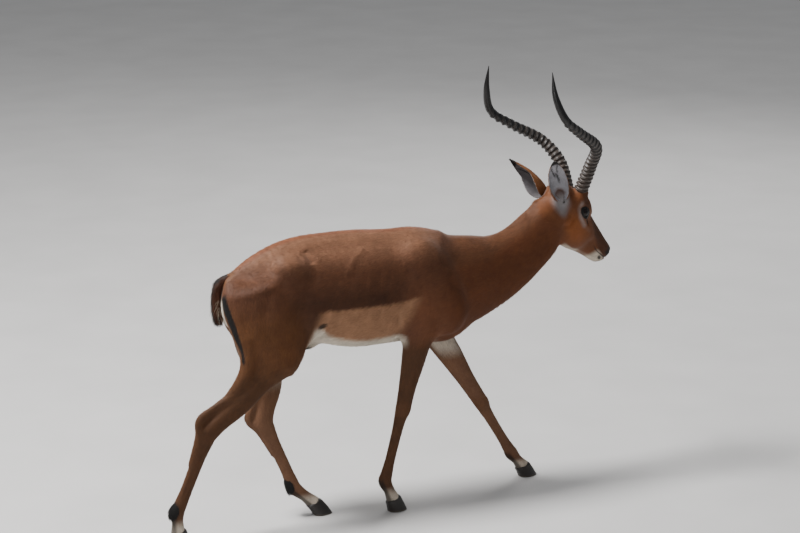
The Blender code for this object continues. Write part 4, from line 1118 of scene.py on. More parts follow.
def paint_head(points, _):
    """Tan face with a dark nose, pale rings behind the eyes, white lips and chin, black nose and lids."""
    ahead, aside, out = ((points - HEAD.origin) @ HEAD.axes.T).T
    aside = np.abs(aside)
    paint = Paint(np.column_stack([ahead, aside, out]), FACE)
    paint.blob(CHEEK, (0.020, 0.045, -0.060), (0.055, 0.030, 0.032), 0.8, 0.7)
    edge = np.interp(ahead, (0.02, 0.06, 0.10, 0.14, 0.18), (0.022, 0.006, -0.008, -0.016, -0.018))
    paint.over(BAND, smoothstep(edge - 0.006, edge + 0.008, out) * smoothstep(0.005, 0.045, ahead))
    paint.over(BAND, 0.85 * smoothstep(0.024, 0.036, out) * smoothstep(-0.020, -0.045, ahead))
    paint.stroke(BAND, ((-0.060, 0.040, 0.034), (-0.028, 0.050, 0.022), (-0.006, 0.052, 0.020)), 0.010, 0.006)
    paint.blob(GREY, (-0.090, 0.052, -0.052), (0.036, 0.030, 0.028), 0.90, 0.6)
    paint.blob(GREY, (-0.062, 0.046, -0.064), (0.020, 0.020, 0.016), 0.55, 0.7)
    paint.blob(NAPE, (-0.088, 0.050, 0.020), (0.022, 0.022, 0.022), 0.9, 0.5)
    paint.stroke(BLACK, ((-0.112, 0.050, -0.040), (-0.088, 0.053, -0.052)), 0.0032, 0.0015)
    paint.stroke(EYE_STRIP, ((-0.032, 0.052, 0.004), (-0.026, 0.052, -0.012), (0.000, 0.048, -0.024),
                             (0.030, 0.043, -0.028)), 0.0058, 0.0085, 0.85)
    paint.stroke(EYE_STRIP, ((0.030, 0.043, -0.028), (0.060, 0.038, -0.022)), 0.0030, 0.009, 0.45)
    paint.stroke(BROW, ((0.010, 0.046, 0.020), (0.035, 0.040, 0.018)), 0.003, 0.004, 0.5)
    paint.over(BLACK, smoothstep(1.10, 0.92, lid_level(ahead, out)) * smoothstep(0.030, 0.040, aside))
    paint.stroke(BLACK, ((0.014, 0.052, -0.006), (0.032, 0.044, -0.013), (0.044, 0.040, -0.017)),
                 0.0032, 0.002, 0.9)
    under = np.interp(ahead, (0.02, 0.06, 0.10, 0.14, 0.17), (-0.100, -0.095, -0.080, -0.058, -0.044))
    chin = smoothstep(0.028, 0.016, aside) * smoothstep(under + 0.010, under - 0.002, out)
    paint.over(BELLY, 0.70 * chin * smoothstep(0.02, 0.06, ahead)
               * (0.35 + 0.65 * smoothstep(0.110, 0.085, ahead)))
    lips = smoothstep(0.146, 0.166, ahead + 0.3 * np.clip(-out - 0.01, 0.0, 0.05))
    paint.over(BELLY, 0.88 * lips * smoothstep(-0.012, -0.022, out))
    mouth = np.interp(ahead, (0.125, 0.155, 0.180, 0.197, 0.205),
                      (-0.0245, -0.0225, -0.0165, -0.0090, -0.0040))
    mouth = smoothstep(0.0026, 0.0008, np.abs(out - mouth)) * smoothstep(0.122, 0.138, ahead)
    paint.over(BLACK, 0.85 * mouth)
    paint.over(BLACK, smoothstep(0.168, 0.184, ahead) * smoothstep(-0.008, 0.002, out))
    paint.blob(BLACK, (0.178, 0.020, -0.029), (0.0085, 0.008, 0.0055), 0.9, 0.4)
    return paint.colour


def paint_leg(name, points, normals):
    """Tan legs, pale inside the top, white round the pastern, with the black gland tuft on a hind leg."""
    side = 1.0 if name.endswith("left") else -1.0
    joints = np.array(LEGS[name]["joints"])
    x, _, z = points.T
    outward = normals[:, 1] * side
    paint = Paint(points, LEG)
    paint.over(INSIDE, 0.75 * smoothstep(0.15, -0.55, outward))
    if name.startswith("fore"):
        white, trunk_from = smoothstep(0.43, 0.49, z), 0.53
    else:
        white, trunk_from = smoothstep(0.40, 0.50, z), 0.46
    paint.over(BELLY, 0.80 * smoothstep(-0.40, -0.85, outward) * white)
    upper = smoothstep(trunk_from, 0.58, z) * smoothstep(-0.55, 0.0, outward)
    paint.over(paint_trunk(points, normals), upper)
    fetlock, coronet = joints[3], joints[4]
    paint.over(BELLY, 0.80 * smoothstep(fetlock[2] - 0.012, coronet[2] + 0.012, z))
    middle = np.interp(z, (coronet[2], fetlock[2]), (coronet[0], fetlock[0]))
    behind = smoothstep(-0.004, -0.014, x - middle)
    paint.over(BLACK, 0.75 * behind * smoothstep(fetlock[2] + 0.016, fetlock[2] - 0.004, z))
    if name.startswith("hind"):
        up = (joints[2] - fetlock) / np.linalg.norm(joints[2] - fetlock)
        back = np.cross(up, (0.0, 1.0, 0.0))
        back = back if back[0] < 0 else -back
        paint.blob(BLACK, fetlock + up * 0.010 + back * 0.018, (0.016, 0.020, 0.024), 1.0, 0.35)
    else:
        paint.over(KNEE, 0.5 * smoothstep(0.03, 0.015, np.abs(z - joints[2][2])))
    return paint.colour


def paint_ear(name, points, normals):
    """Tan back with a black rim and tip, and a pale inside with dark streaks."""
    root, way, _, across = ear_axes(name)
    share = (points - root) @ way / EAR_LENGTH
    aside = (points - root) @ across
    stops = np.linspace(0.0, 1.0, 40)
    hubs = np.array([ear_curl(name, stop, 0.0)[0] for stop in stops])
    inward = unit(np.column_stack([np.interp(share, stops, hubs[:, i]) for i in range(3)]) - points)
    inside = smoothstep(-0.15, 0.35, np.sum(normals * inward, axis=1))
    paint = Paint(points, EAR_BACK)
    paint.over(EAR_INSIDE, inside)
    if name == "ear_left":                              # painted shade down the middle of the left ear's cup
        paint.over(EAR_CUP_SHADE, 0.78 * inside * smoothstep(0.050, 0.022, np.abs(aside)))
    ragged = wavy(points, 0.012, 21)
    for centre, width, start, end in EAR_STREAKS:
        bent = centre + 0.005 * np.sin(7.0 * share + 60.0 * centre) + 0.0016 * ragged
        streak = smoothstep(width + 0.0022, width - 0.001, np.abs(aside - bent))
        streak = 0.8 * inside * streak * smoothstep(start, start + 0.12, share)
        paint.over(BLACK, streak * smoothstep(end, end - 0.12, share))
    paint.over(BLACK, smoothstep(0.80, 0.90, share + 0.05 * inside))
    return paint.colour


def paint_tail(points, normals):
    """Dark along its top, white below."""
    aside, z = np.abs(points[:, 1]), points[:, 2]
    paint = Paint(points, BELLY)
    behind = np.maximum(smoothstep(0.2, -0.3, normals[:, 0]), smoothstep(0.725, 0.745, z))
    paint.over(THIGH, behind * smoothstep(0.018, 0.010, aside))
    paint.over(THIGH, smoothstep(0.722, 0.742, z))
    paint.over(BLACK, behind * smoothstep(0.008, 0.004, aside) * smoothstep(0.79, 0.76, z))
    return paint.colour


PAINTERS = {"trunk": paint_trunk, "neck": paint_neck, "head": paint_head, "tail": paint_tail}


def markings(points, normals, share):
    """The coat's colour at points of the skin, mixed by the regions' shares."""
    colour = np.zeros((len(points), 3))
    for column, name in enumerate(NAMES):
        used = np.nonzero(share[:, column] > 0.004)[0]
        if len(used) == 0:
            continue
        where, facing = points[used], normals[used]
        if name in LEGS:
            made = paint_leg(name, where, facing)
        elif name in EAR_WAYS:
            made = paint_ear(name, where, facing)
        else:
            made = PAINTERS[name](where, facing)
        colour[used] += made * share[used, column][:, None]
    colour /= np.maximum(share.sum(axis=1), 1e-6)[:, None]
    return colour * (1.0 + 0.07 * wavy(points, 0.11, 5) + 0.05 * wavy(points, 0.03, 8))[:, None]


def coronet_plane(name):
    """The slanting plane where a foot's flesh ends and its claws begin: a point, and the way down."""
    *_, coronet = LEGS[name]["joints"]
    slope = math.radians(CORONET_SLOPE)
    return np.array(coronet), np.array((math.sin(slope), 0.0, -math.cos(slope)))


# ---------------------------------------------------------------- the coat
class Skin:
    """The finished skin, from which tufts grow."""

    def __init__(self, vertices, triangles):
        self.vertices, self.triangles = vertices, triangles
        self.normals = vertex_normals(vertices, triangles)
        edges = edges_of(triangles)
        self.share, region = name_regions(vertices, edges)
        self.lie = hair_lie(vertices, self.normals, self.share, edges)
        a, b, c = (vertices[triangles[:, i]] for i in range(3))
        self.areas = 0.5 * np.linalg.norm(np.cross(b - a, c - a), axis=1)
        self.middles = (a + b + c) / 3.0
        self.region = region[triangles[:, 0]]

    def scatter(self, chosen, density, random):
        """Places spread over the chosen triangles, so many to the square metre."""
        expected = np.cumsum(self.areas[chosen] * density)
        count = int(expected[-1])
        reached = (np.arange(count) + random.uniform(0, 1, count)) * expected[-1] / count
        at = chosen[np.minimum(np.searchsorted(expected, reached), len(chosen) - 1)]
        corner = np.sqrt(random.uniform(0, 1, count))
        along = random.uniform(0, 1, count)
        weights = np.column_stack([1 - corner, corner * (1 - along), corner * along])
        return at, weights

    def mixed(self, values, at, weights):
        """A value kept at the vertices, mixed at places inside triangles."""
        return np.einsum("ij,ijk->ik", weights, values[self.triangles[at]])

    def rooted(self, chosen, density, random):
        """Where tufts stand on the chosen triangles: places, normals, lies and shares of the regions."""
        at, weights = self.scatter(chosen, density, random)
        normals = unit(self.mixed(self.normals, at, weights))
        lies = along_skin(self.mixed(self.lie, at, weights), normals)
        return self.mixed(self.vertices, at, weights), normals, lies, self.mixed(self.share, at, weights)


def unwrapped(points, name):
    """Where points lie along and around a region's line, each 0 to 1."""
    line = LINES[name]
    lengths = np.linalg.norm(np.diff(line, axis=0), axis=1)
    starts = np.concatenate([[0.0], np.cumsum(lengths)])
    best = np.full(len(points), np.inf)
    along, round_it = np.zeros(len(points)), np.zeros(len(points))
    for i, (start, end) in enumerate(zip(line, line[1:])):
        way = (end - start) / lengths[i]
        t = (points - start) @ way
        held = np.clip(t, 0.0, lengths[i])
        offset = points - start - held[:, None] * way
        distance = np.linalg.norm(offset, axis=1)
        aside = np.array((0.0, 1.0, 0.0)) - way * way[1]
        aside /= np.linalg.norm(aside)
        up = np.cross(way, aside)
        closer = distance < best
        best[closer] = distance[closer]
        far_end = i == len(line) - 2
        reached = np.clip(t, 0.0 if i else -MAP_OVERHANG, lengths[i] + (MAP_OVERHANG if far_end else 0.0))
        along[closer] = (starts[i] + reached[closer]) / starts[-1]
        round_it[closer] = np.arctan2((offset @ up)[closer], (offset @ aside)[closer]) / (2 * math.pi) + 0.5
    return np.column_stack([along, round_it])


def fitted(values):
    """Values stretched to fill the square from edge to edge, less a margin."""
    low, high = values.min(axis=0), values.max(axis=0)
    return MAP_MARGIN + (1.0 - 2.0 * MAP_MARGIN) * (values - low) / np.maximum(high - low, 1e-6)


def tuft_piece(name, roots, normals, lies, colours, lengths, widths, lifts, random, maps, bent=False):
    """One mesh of closed three-sided tufts, each a patch of its map and lit mostly as the skin below it."""
    count = len(roots)
    across = unit(np.cross(normals, lies))
    turn = random.normal(0.0, TUFT_STRAY, count)
    ways = lies * np.cos(turn)[:, None] + across * np.sin(turn)[:, None]
    across = np.cross(normals, ways)
    base = roots - normals * TUFT_SINK
    half = 0.5 * widths[:, None]
    thick = np.minimum(0.45 * widths, TUFT_THICKNESS)[:, None]
    rise = np.sin(lifts)[:, None]
    tips = base + ways * (lengths * np.cos(lifts))[:, None] + normals * (lengths[:, None] * rise + TUFT_SINK)
    a, b, c = base - across * half, base + across * half, base + normals * (thick + TUFT_SINK)
    if bent:
        middle = 0.5 * (base + tips) + normals * (lengths * BEND_SHARE)[:, None]
        points = np.stack([a, b, c, middle - across * half * 0.8, middle + across * half * 0.8,
                           middle + normals * thick * 0.8, tips], axis=1)
        faces = np.array(((0, 2, 1), (0, 1, 4), (0, 4, 3), (1, 2, 5), (1, 5, 4), (2, 0, 3), (2, 3, 5),
                          (3, 4, 6), (4, 5, 6), (5, 3, 6)))
        spots = np.array(((0, 0), (1, 0), (0.5, 0.3), (0, 0.6), (1, 0.6), (0.5, 0.8), (0.4, 1)))
        shade = np.array((ROOT_PAINTED_SHADE, ROOT_PAINTED_SHADE, ROOT_PAINTED_SHADE, 1.0, 1.0, 1.0, TIP_PAINTED_LIGHT))
    else:
        points = np.stack([a, b, c, tips], axis=1)
        faces = np.array(((0, 2, 1), (0, 1, 3), (1, 2, 3), (2, 0, 3)))
        spots = np.array(((0, 0), (1, 0), (0.1, 0.9), (1, 1)))
        shade = np.array((ROOT_PAINTED_SHADE, ROOT_PAINTED_SHADE, 1.0, TIP_PAINTED_LIGHT))
    each = points.shape[1]
    vertices = points.reshape(-1, 3)
    triangles = (faces[None] + each * np.arange(count)[:, None, None]).reshape(-1, 3)
    mesh = bpy.data.meshes.new(name)
    mesh.vertices.add(len(vertices))
    mesh.vertices.foreach_set("co", (vertices - (*CENTRE, 0.0)).ravel())
    mesh.loops.add(3 * len(triangles))
    mesh.loops.foreach_set("vertex_index", triangles.ravel())
    mesh.polygons.add(len(triangles))
    mesh.polygons.foreach_set("loop_start", 3 * np.arange(len(triangles)))
    mesh.update()
    attribute = mesh.attributes.new("coat", "FLOAT_COLOR", "POINT")
    painted = np.ones((count, each, 4))
    # painted shade at the roots, painted light at the tips
    painted[..., :3] = colours[:, None, :] * shade[None, :, None]
    attribute.data.foreach_set("color", painted.ravel())
    layer = mesh.uv_layers.new(name="OFBake")
    patch = maps[:, None, :] + (spots[None] - 0.5) * PATCH
    corner_maps = patch.reshape(-1, 2)[triangles.ravel()]
    layer.data.foreach_set("uv", np.clip(corner_maps, 0.0, 1.0).ravel())
    mesh.shade_smooth()
    own = np.cross(vertices[triangles[:, 1]] - vertices[triangles[:, 0]],
                   vertices[triangles[:, 2]] - vertices[triangles[:, 0]])
    soft = np.repeat(normals, len(faces), axis=0) * (1.0 - OWN_NORMAL) + unit(own) * OWN_NORMAL
    mesh.normals_split_custom_set(np.repeat(unit(soft), 3, axis=0))
    made = bpy.data.objects.new(name, mesh)
    bpy.context.scene.collection.objects.link(made)
    return made


# of each region: tufts to the square metre, their length, width and lift in degrees
TUFTS = {
    "trunk": (150000, 0.0135, 0.0021, 7.0), "neck": (160000, 0.0150, 0.0021, 8.0),
    "head": (330000, 0.0065, 0.0012, 8.0), "fore": (190000, 0.0095, 0.0016, 7.0),
    "hind": (165000, 0.0105, 0.0018, 7.0), "ear": (420000, 0.0085, 0.0011, 9.0)}


def grow(skin, piece, name, random, chosen):
    """The tufts of one coat piece, over the chosen triangles of the named region."""
    density, length, width, lift = next(TUFTS[kind] for kind in TUFTS if name.startswith(kind))
    roots, normals, lies, share = skin.rooted(chosen, density, random)
    size, kept = local_size(roots, name)
    keep = random.uniform(0, 1, len(roots)) < kept
    roots, normals, lies, share, size = roots[keep], normals[keep], lies[keep], share[keep], size[keep]
    colours = markings(roots, normals, share)
    count = len(roots)
    colours *= np.exp(random.normal(0.0, TUFT_VARIETY, count))[:, None]
    lengths = length * size * random.uniform(0.75, 1.2, count)
    widths = width * np.sqrt(size) * random.uniform(0.8, 1.2, count)
    lifts = np.radians(lift * random.uniform(0.5, 1.5, count))
    maps = fitted(unwrapped(roots, name))
    return tuft_piece(piece, roots, normals, lies, colours, lengths, widths, lifts, random, maps)


def local_size(points, name):
    """At each place, the tufts' length against their region's own, and the share of them that grow."""
    size, kept = np.ones(len(points)), np.ones(len(points))
    above = points[:, 2]
    if name == "head":
        ahead, aside, out = ((points - HEAD.origin) @ HEAD.axes.T).T
        aside = np.abs(aside)
        size = 0.55 + 0.75 * smoothstep(0.02, -0.10, ahead)
        kept = 1.0 - smoothstep(0.160, 0.176, ahead) * smoothstep(-0.012, 0.002, out)      # bare nose
        eye = lid_level(ahead, out)
        kept *= np.where(aside > 0.02, smoothstep(0.98, 1.15, eye), 1.0)
        size *= np.where(aside > 0.02, 0.5 + 0.5 * smoothstep(1.0, 2.4, eye), 1.0)
        mouth, _ = line_distance(np.column_stack([ahead, aside, out]), MOUTH)
        kept *= smoothstep(0.0012, 0.0030, mouth)
        for root in both_sides([HORN_ROOT], HEAD):
            kept *= smoothstep(0.020, 0.024, np.linalg.norm(points - root[0], axis=1))
    elif name == "neck":
        size = 1.0 + 0.35 * smoothstep(0.02, 0.0, np.abs(points[:, 1] - 0.01)) * smoothstep(0.70, 0.80, above)
    elif name == "trunk":
        size = 1.0 + 0.25 * smoothstep(0.60, 0.56, above)
    elif name in LEGS:
        size = 0.62 + 0.55 * smoothstep(0.12, 0.50, above)
    return size, kept


def gland_hair(skin, word, random):
    """The longer black hair on the gland above one hind fetlock."""
    leg = "hind_" + word
    hock, fetlock = np.array(LEGS[leg]["joints"])[2:4]
    up = (hock - fetlock) / np.linalg.norm(hock - fetlock)
    centre = fetlock + up * 0.016 + (-0.018, 0.0, -0.002)
    chosen = np.nonzero(np.linalg.norm(skin.middles - centre, axis=1) < GLAND_SPREAD)[0]
    roots, normals, lies, _ = skin.rooted(chosen, GLAND_TUFTS / skin.areas[chosen].sum(), random)
    count = len(roots)
    colours = BLACK * np.exp(random.normal(0.0, LONG_VARIETY, count))[:, None]
    lengths = GLAND_LENGTH * random.uniform(0.6, 1.1, count)
    widths = GLAND_WIDTH * random.uniform(0.7, 1.2, count)
    lifts = np.radians(GLAND_LIFT * random.uniform(0.6, 1.3, count))
    return tuft_piece("coat_gland_" + word, roots, normals, lies, colours, lengths, widths, lifts, random,
                      fitted(unwrapped(roots, leg)), bent=True)


def tail_hair(random):
    """The tail's long hair: brown over its top, black down its middle, white at its sides and below."""
    line = smooth_line(TAIL_STATIONS, 10)
    along, across, front = line_axes(line[:, :3], np.array((0.0, 1.0, 0.0)))
    count = TAIL_TUFTS
    row = (random.uniform(0.0, 1.0, count) ** 0.9 * (len(line) - 12)).astype(int)
    angle = random.uniform(0.0, 2.0 * math.pi, count)
    slim = DOCK_SHARE * 0.85                            # the roots stand in the dock, or close to it
    out = across[row] * np.cos(angle)[:, None] + front[row] * np.sin(angle)[:, None]
    roots = line[row, :3] + (across[row] * (np.cos(angle) * line[row, 3])[:, None]
                             + front[row] * (np.sin(angle) * line[row, 4])[:, None]) * slim
    behind = (out[:, 0] < 0.45) | (row < TAIL_WHITE_FROM * len(line))
    middle = np.abs(roots[:, 1]) < 0.0050
    low = (roots[:, 2] < 0.715) & (np.abs(roots[:, 1]) < 0.0085)
    colours = np.where(behind[:, None], TAIL_TOP, BELLY)
    colours = np.where((behind & (middle | low) & (out[:, 0] < 0.0))[:, None], BLACK, colours)
    colours = colours * np.exp(random.normal(0.0, LONG_VARIETY, count))[:, None]
    share = row / len(line)
    lengths = (0.030 + 0.022 * share) * random.uniform(0.7, 1.1, count)
    lengths = np.minimum(lengths, (len(line) - row) / len(line) * 0.155)
    lifts = np.radians(random.uniform(2.0, 8.0, count))
    maps = fitted(np.column_stack([share + random.uniform(0, 0.02, count), angle / (2 * math.pi)]))
    widths = np.full(count, TAIL_TUFT_WIDTH)
    return tuft_piece("coat_tail", roots, out, along[row], colours, lengths, widths, lifts, random, maps,
                      bent=True)


def make_coat(skin):
    """Every coat piece."""
    random = np.random.default_rng(SEED)
    pieces = []
    regions = {name: np.nonzero(skin.region == NAMES.index(name))[0] for name in NAMES}
    trunk = regions["trunk"]
    for side, word in SIDES:
        mine = trunk[np.sign(skin.middles[trunk, 1]) == side]
        pieces.append(grow(skin, "coat_trunk_" + word, "trunk", random, mine))
    for name in ("neck", "head", *LEGS, *EAR_WAYS):
        pieces.append(grow(skin, "coat_" + name, name, random, regions[name]))
    for word in ("left", "right"):
        pieces.append(gland_hair(skin, word, random))
    pieces.append(tail_hair(random))
    return pieces


# ---------------------------------------------------------------- horns, eyes and hooves
def give(made, label, values):
    """Keeps a number at each vertex of an object."""
    attribute = made.data.attributes.new(label, "FLOAT", "POINT")
    attribute.data.foreach_set("value", np.array(values, np.float32))


def ring_stops(length):
    """The rows of a horn of this length: their shares of the way up, and how many rings lie below each."""
    growth = (RING_LAST - RING_FIRST) / RING_FIRST
    rings = int(length * HORN_RIDGED / (RING_LAST - RING_FIRST) * math.log(1.0 + growth))
    turns = np.linspace(0.0, rings, rings * RING_ROWS + 1)
    climb = (np.exp(turns / rings * math.log(1.0 + growth)) - 1.0) / growth
    smooth_part = np.linspace(HORN_RIDGED, 1.0, HORN_TIP_ROWS)[1:]
    stops = np.concatenate([climb * HORN_RIDGED, smooth_part])
    return stops, np.concatenate([turns, np.full(len(smooth_part), float(rings))])


def make_horn(name, side):
    """A lyre-shaped horn with its rings, rooted in the head. Its vertices keep their height and crest."""
    level = head_frame(0.0)
    rows = [(-back, side * out, up, radius) for (out, back, up), radius in zip(HORN_PATH, HORN_RADII)]
    fine = smooth_line(rows, 40)
    travelled = np.concatenate([[0], np.cumsum(np.linalg.norm(np.diff(fine[:, :3], axis=0), axis=1))])
    stops, phase = ring_stops(travelled[-1])
    line = np.column_stack([np.interp(stops, travelled / travelled[-1], fine[:, i]) for i in range(4)])
    for _ in range(4):
        line = evened(line)
    points = HEAD.place((HORN_ROOT[0], side * HORN_ROOT[1], HORN_ROOT[2])) + line[:, :3] @ level.axes
    _, across, front = line_axes(points, level.axes[1])
    angles = np.linspace(0.0, 2.0 * math.pi, HORN_AROUND, endpoint=False)
    vertices, shares, crests = [], [], []
    for row, (point, stop) in enumerate(zip(points, stops)):
        lean = 0.10 * np.sin(angles) + 0.04 * np.sin(3 * angles + row * 0.05)     # rings tip as they go round
        turn = (phase[row] + lean) % 1.0
        rising = smoothstep(RING_LOW, RING_PEAK, turn)
        wave = np.where(turn < RING_PEAK, rising, smoothstep(1.0, RING_PEAK, turn)) ** 1.4
        fade = smoothstep(HORN_RIDGED, HORN_RIDGED * 0.88, stop) * smoothstep(0.0, 0.02, stop)
        crest = wave * fade
        height = RING_HEIGHT * (1.0 - 0.45 * stop) * (0.62 + 0.38 * np.sin(angles))
        radius = line[row, 3] - 0.0004 + (crest - 0.40 * fade) * height
        for column, angle in enumerate(angles):
            way = across[row] * math.cos(angle) * 0.94 + front[row] * math.sin(angle)
            vertices.append(point + way * radius[column])
            shares.append(stop)
            crests.append(crest[column])
    made = plain_object(name, vertices, ring_faces(len(points), HORN_AROUND))
    give(made, "share", shares)
    give(made, "crest", crests)
    return made


def make_eye(name, side):
    """An eyeball with a bulging cornea. Its vertices keep their place on its face."""
    centre = HEAD.place((EYE_PLACE[0], side * EYE_PLACE[1], EYE_PLACE[2]))
    work = bmesh.new()
    bmesh.ops.create_uvsphere(work, u_segments=64, v_segments=40, radius=1.0)
    local = np.array([v.co for v in work.verts])[:, [0, 2, 1]]
    faces = [[v.index for v in f.verts] for f in work.faces]
    work.free()
    swell = 1.0 + 0.045 * smoothstep(0.60, 1.0, local[:, 1])
    ball = local * (1, side, 1) * swell[:, None] * EYE_RADIUS
    made = plain_object(name, centre + ball @ HEAD.axes, faces)
    for label, column in (("ahead", 0), ("above", 2), ("outward", 1)):
        give(made, label, local[:, column])
    return made


def make_claw(name, leg, side):
    """One claw of a foot: a rounded wall from its flat sole to the coronet, with a soft heel bulb behind."""
    point, down = coronet_plane(leg)
    sole_x, sole_y = LEGS[leg]["sole"]
    ring = []                                           # round the claw: ahead, and out from the split
    for turn in np.linspace(0.0, math.pi, CLAW_TURNS):
        ring.append((math.cos(turn), math.sin(turn) ** 0.85 * (1.0 - 0.22 * math.cos(turn))))
    for ahead in np.linspace(-0.97, 0.97, CLAW_INNER):
        ring.append((ahead, 0.035 + 0.05 * (1.0 - ahead ** 2)))
    vertices = []
    for share, inset in zip(CLAW_SHARES, CLAW_INSETS):
        flare = 1.0 + 0.02 * math.exp(-((share - 0.10) / 0.08) ** 2)
        length = (HOOF_LENGTH - 0.001) * flare * (1.0 - share) + (CORONET_LENGTH + 0.002) * share - 2 * inset
        width = HOOF_WIDTH * (1.0 - share) + CORONET_WIDTH * share - inset
        wall = 0.0003 * math.sin(share * 42.0)          # faint growth rings
        centre_x = sole_x * (1.0 - share) + point[0] * share
        centre_y = sole_y * (1.0 - share) + point[1] * share
        for ahead, out in ring:
            x = centre_x + ahead * (length / 2 + wall)
            y = centre_y + side * (HOOF_SPLIT / 2 + max(out, 0.0) * (width + wall))
            top = point[2] + (x - point[0]) * down[0] / -down[2]
            vertices.append((x, y, share * top + (0.0007 if share == 0.0 and inset < 0.001 else 0.0)))
    return plain_object(name, vertices, ring_faces(len(CLAW_SHARES), len(ring)))


# ---------------------------------------------------------------- materials
class Nodes:
    """A short way to build a material's node tree."""

    def __init__(self, name, roughness, specular=0.5):
        self.material = bpy.data.materials.new(name)
        self.material.use_nodes = True
        self.tree = self.material.node_tree
        self.shader = self.tree.nodes["Principled BSDF"]
        self.shader.inputs["Roughness"].default_value = roughness
        self.shader.inputs["Specular IOR Level"].default_value = specular

    def add(self, kind, **inputs):
        """A node of a kind, with its inputs set or linked by name."""
        node = self.tree.nodes.new("ShaderNode" + kind)
        for key, value in inputs.items():
            self.put(node.inputs[key.replace("_", " ")], value)
        return node

    def put(self, socket, value):
        """Sets a socket, or links it if the value is another node's output."""
        if isinstance(value, bpy.types.NodeSocket):
            self.tree.links.new(value, socket)
        else:
            socket.default_value = value

    def kept(self, name, output="Fac"):
        """A number kept on the mesh, or a colour if asked for."""
        node = self.tree.nodes.new("ShaderNodeAttribute")
        node.attribute_name = name
        return node.outputs[output]

    def math(self, operation, a, b=0.0):
        """One sum."""
        node = self.tree.nodes.new("ShaderNodeMath")
        node.operation = operation
        self.put(node.inputs[0], a)
        self.put(node.inputs[1], b)
        return node.outputs[0]

    def times(self, a, b):
        """Two numbers multiplied."""
        return self.math("MULTIPLY", a, b)

    def plus(self, a, b):
        """Two numbers added."""
        return self.math("ADD", a, b)

    def noise(self, scale, detail=3.0, stretch=(1.0, 1.0, 1.0)):
        """Noise in the model's own space, which may be stretched."""
        place = self.tree.nodes.new("ShaderNodeTexCoord").outputs["Object"]
        mapping = self.add("Mapping", Vector=place, Scale=stretch)
        noise = self.add("TexNoise", Vector=mapping.outputs["Vector"], Scale=scale, Detail=detail)
        return noise.outputs["Fac"]

    def ramp(self, factor, *stops):
        """A colour ramp through (place, colour) stops."""
        node = self.tree.nodes.new("ShaderNodeValToRGB")
        self.tree.links.new(factor, node.inputs["Fac"])
        while len(node.color_ramp.elements) < len(stops):
            node.color_ramp.elements.new(0.5)
        for element, (place, colour) in zip(node.color_ramp.elements, stops):
            element.position, element.color = place, (*colour, 1.0)
        return node.outputs["Color"]

    def mix(self, factor, a, b, mode="MIX"):
        """Two colours mixed."""
        node = self.tree.nodes.new("ShaderNodeMix")
        node.data_type, node.blend_type = "RGBA", mode
        self.put(node.inputs[0], factor)
        for number, colour in ((6, a), (7, b)):         # the inputs that take colours
            whole = colour if isinstance(colour, bpy.types.NodeSocket) else (*colour, 1.0)
            self.put(node.inputs[number], whole)
        return node.outputs[2]

    def bump(self, height, distance, strength=1.0):
        """Raises the surface by a height pattern."""
        node = self.add("Bump", Height=height, Distance=distance, Strength=strength)
        self.tree.links.new(node.outputs["Normal"], self.shader.inputs["Normal"])

    def finish(self, colour, roughness=None):
        """Links the base colour and, if it varies, the roughness."""
        self.tree.links.new(colour, self.shader.inputs["Base Color"])
        if roughness is not None:
            self.tree.links.new(roughness, self.shader.inputs["Roughness"])
        return self.material


def coat_material(name, streaks):
    """Short hair: the painted colour with fine uneven streaks."""
    nodes = Nodes(name, 0.6, 0.25)
    nodes.shader.inputs["Sheen Weight"].default_value = 0.18
    nodes.shader.inputs["Sheen Roughness"].default_value = 0.45
    nodes.shader.inputs["Sheen Tint"].default_value = (1.0, 0.92, 0.86, 1.0)
    grain = nodes.noise(420.0, 3.0, (0.25, 1.0, 0.6))
    blotch = nodes.noise(26.0, 4.0)
    factor = nodes.plus(nodes.times(grain, 0.35 if streaks else 0.2), nodes.times(blotch, 0.25))
    tone = nodes.ramp(factor, (0.15, (0.78, 0.78, 0.78)), (0.45, (1.12, 1.11, 1.10)))
    colour = nodes.mix(1.0, nodes.kept("coat", "Color"), tone, "MULTIPLY")
    if streaks:
        nodes.bump(grain, 0.0006, 0.8)
    return nodes.finish(colour, nodes.plus(nodes.times(grain, 0.2), 0.50))


def horn_material():
    """Black horn, browner low down and pale in the troughs between the crests, partly dust and partly painted
    reflection, drawn out into a polished black tip.
    """
    nodes = Nodes("ringed_horn", 0.4, 0.5)
    share, crest = nodes.kept("share"), nodes.kept("crest")
    fibre = nodes.noise(260.0, 4.0, (1.0, 1.0, 0.12))
    dust = nodes.noise(45.0, 5.0)
    base = nodes.ramp(share, (0.0, linear(48, 33, 23)), (0.25, linear(36, 25, 18)),
                      (0.45, linear(20, 15, 13)), (0.70, linear(10, 8, 8)))
    # pale in the troughs between the rings: partly dust, partly painted reflection of the sky
    trough = nodes.ramp(crest, (0.02, (0.95, 0.95, 0.95)), (0.30, (0.0, 0.0, 0.0)))
    pale = nodes.times(trough, nodes.times(dust, 0.9))
    fades = nodes.ramp(share, (0.50, (1.0, 1.0, 1.0)), (0.74, (0.0, 0.0, 0.0)))
    colour = nodes.mix(nodes.times(pale, nodes.times(fades, 0.48)), base, linear(160, 150, 142))
    colour = nodes.mix(nodes.times(fibre, 0.45), colour, linear(10, 8, 8))
    nodes.bump(nodes.plus(nodes.times(fibre, 0.6), nodes.times(dust, 0.4)), 0.0008, 0.6)
    polish = nodes.math("SUBTRACT", 0.34, nodes.times(share, 0.16))
    return nodes.finish(colour, nodes.plus(nodes.times(dust, 0.3), polish))


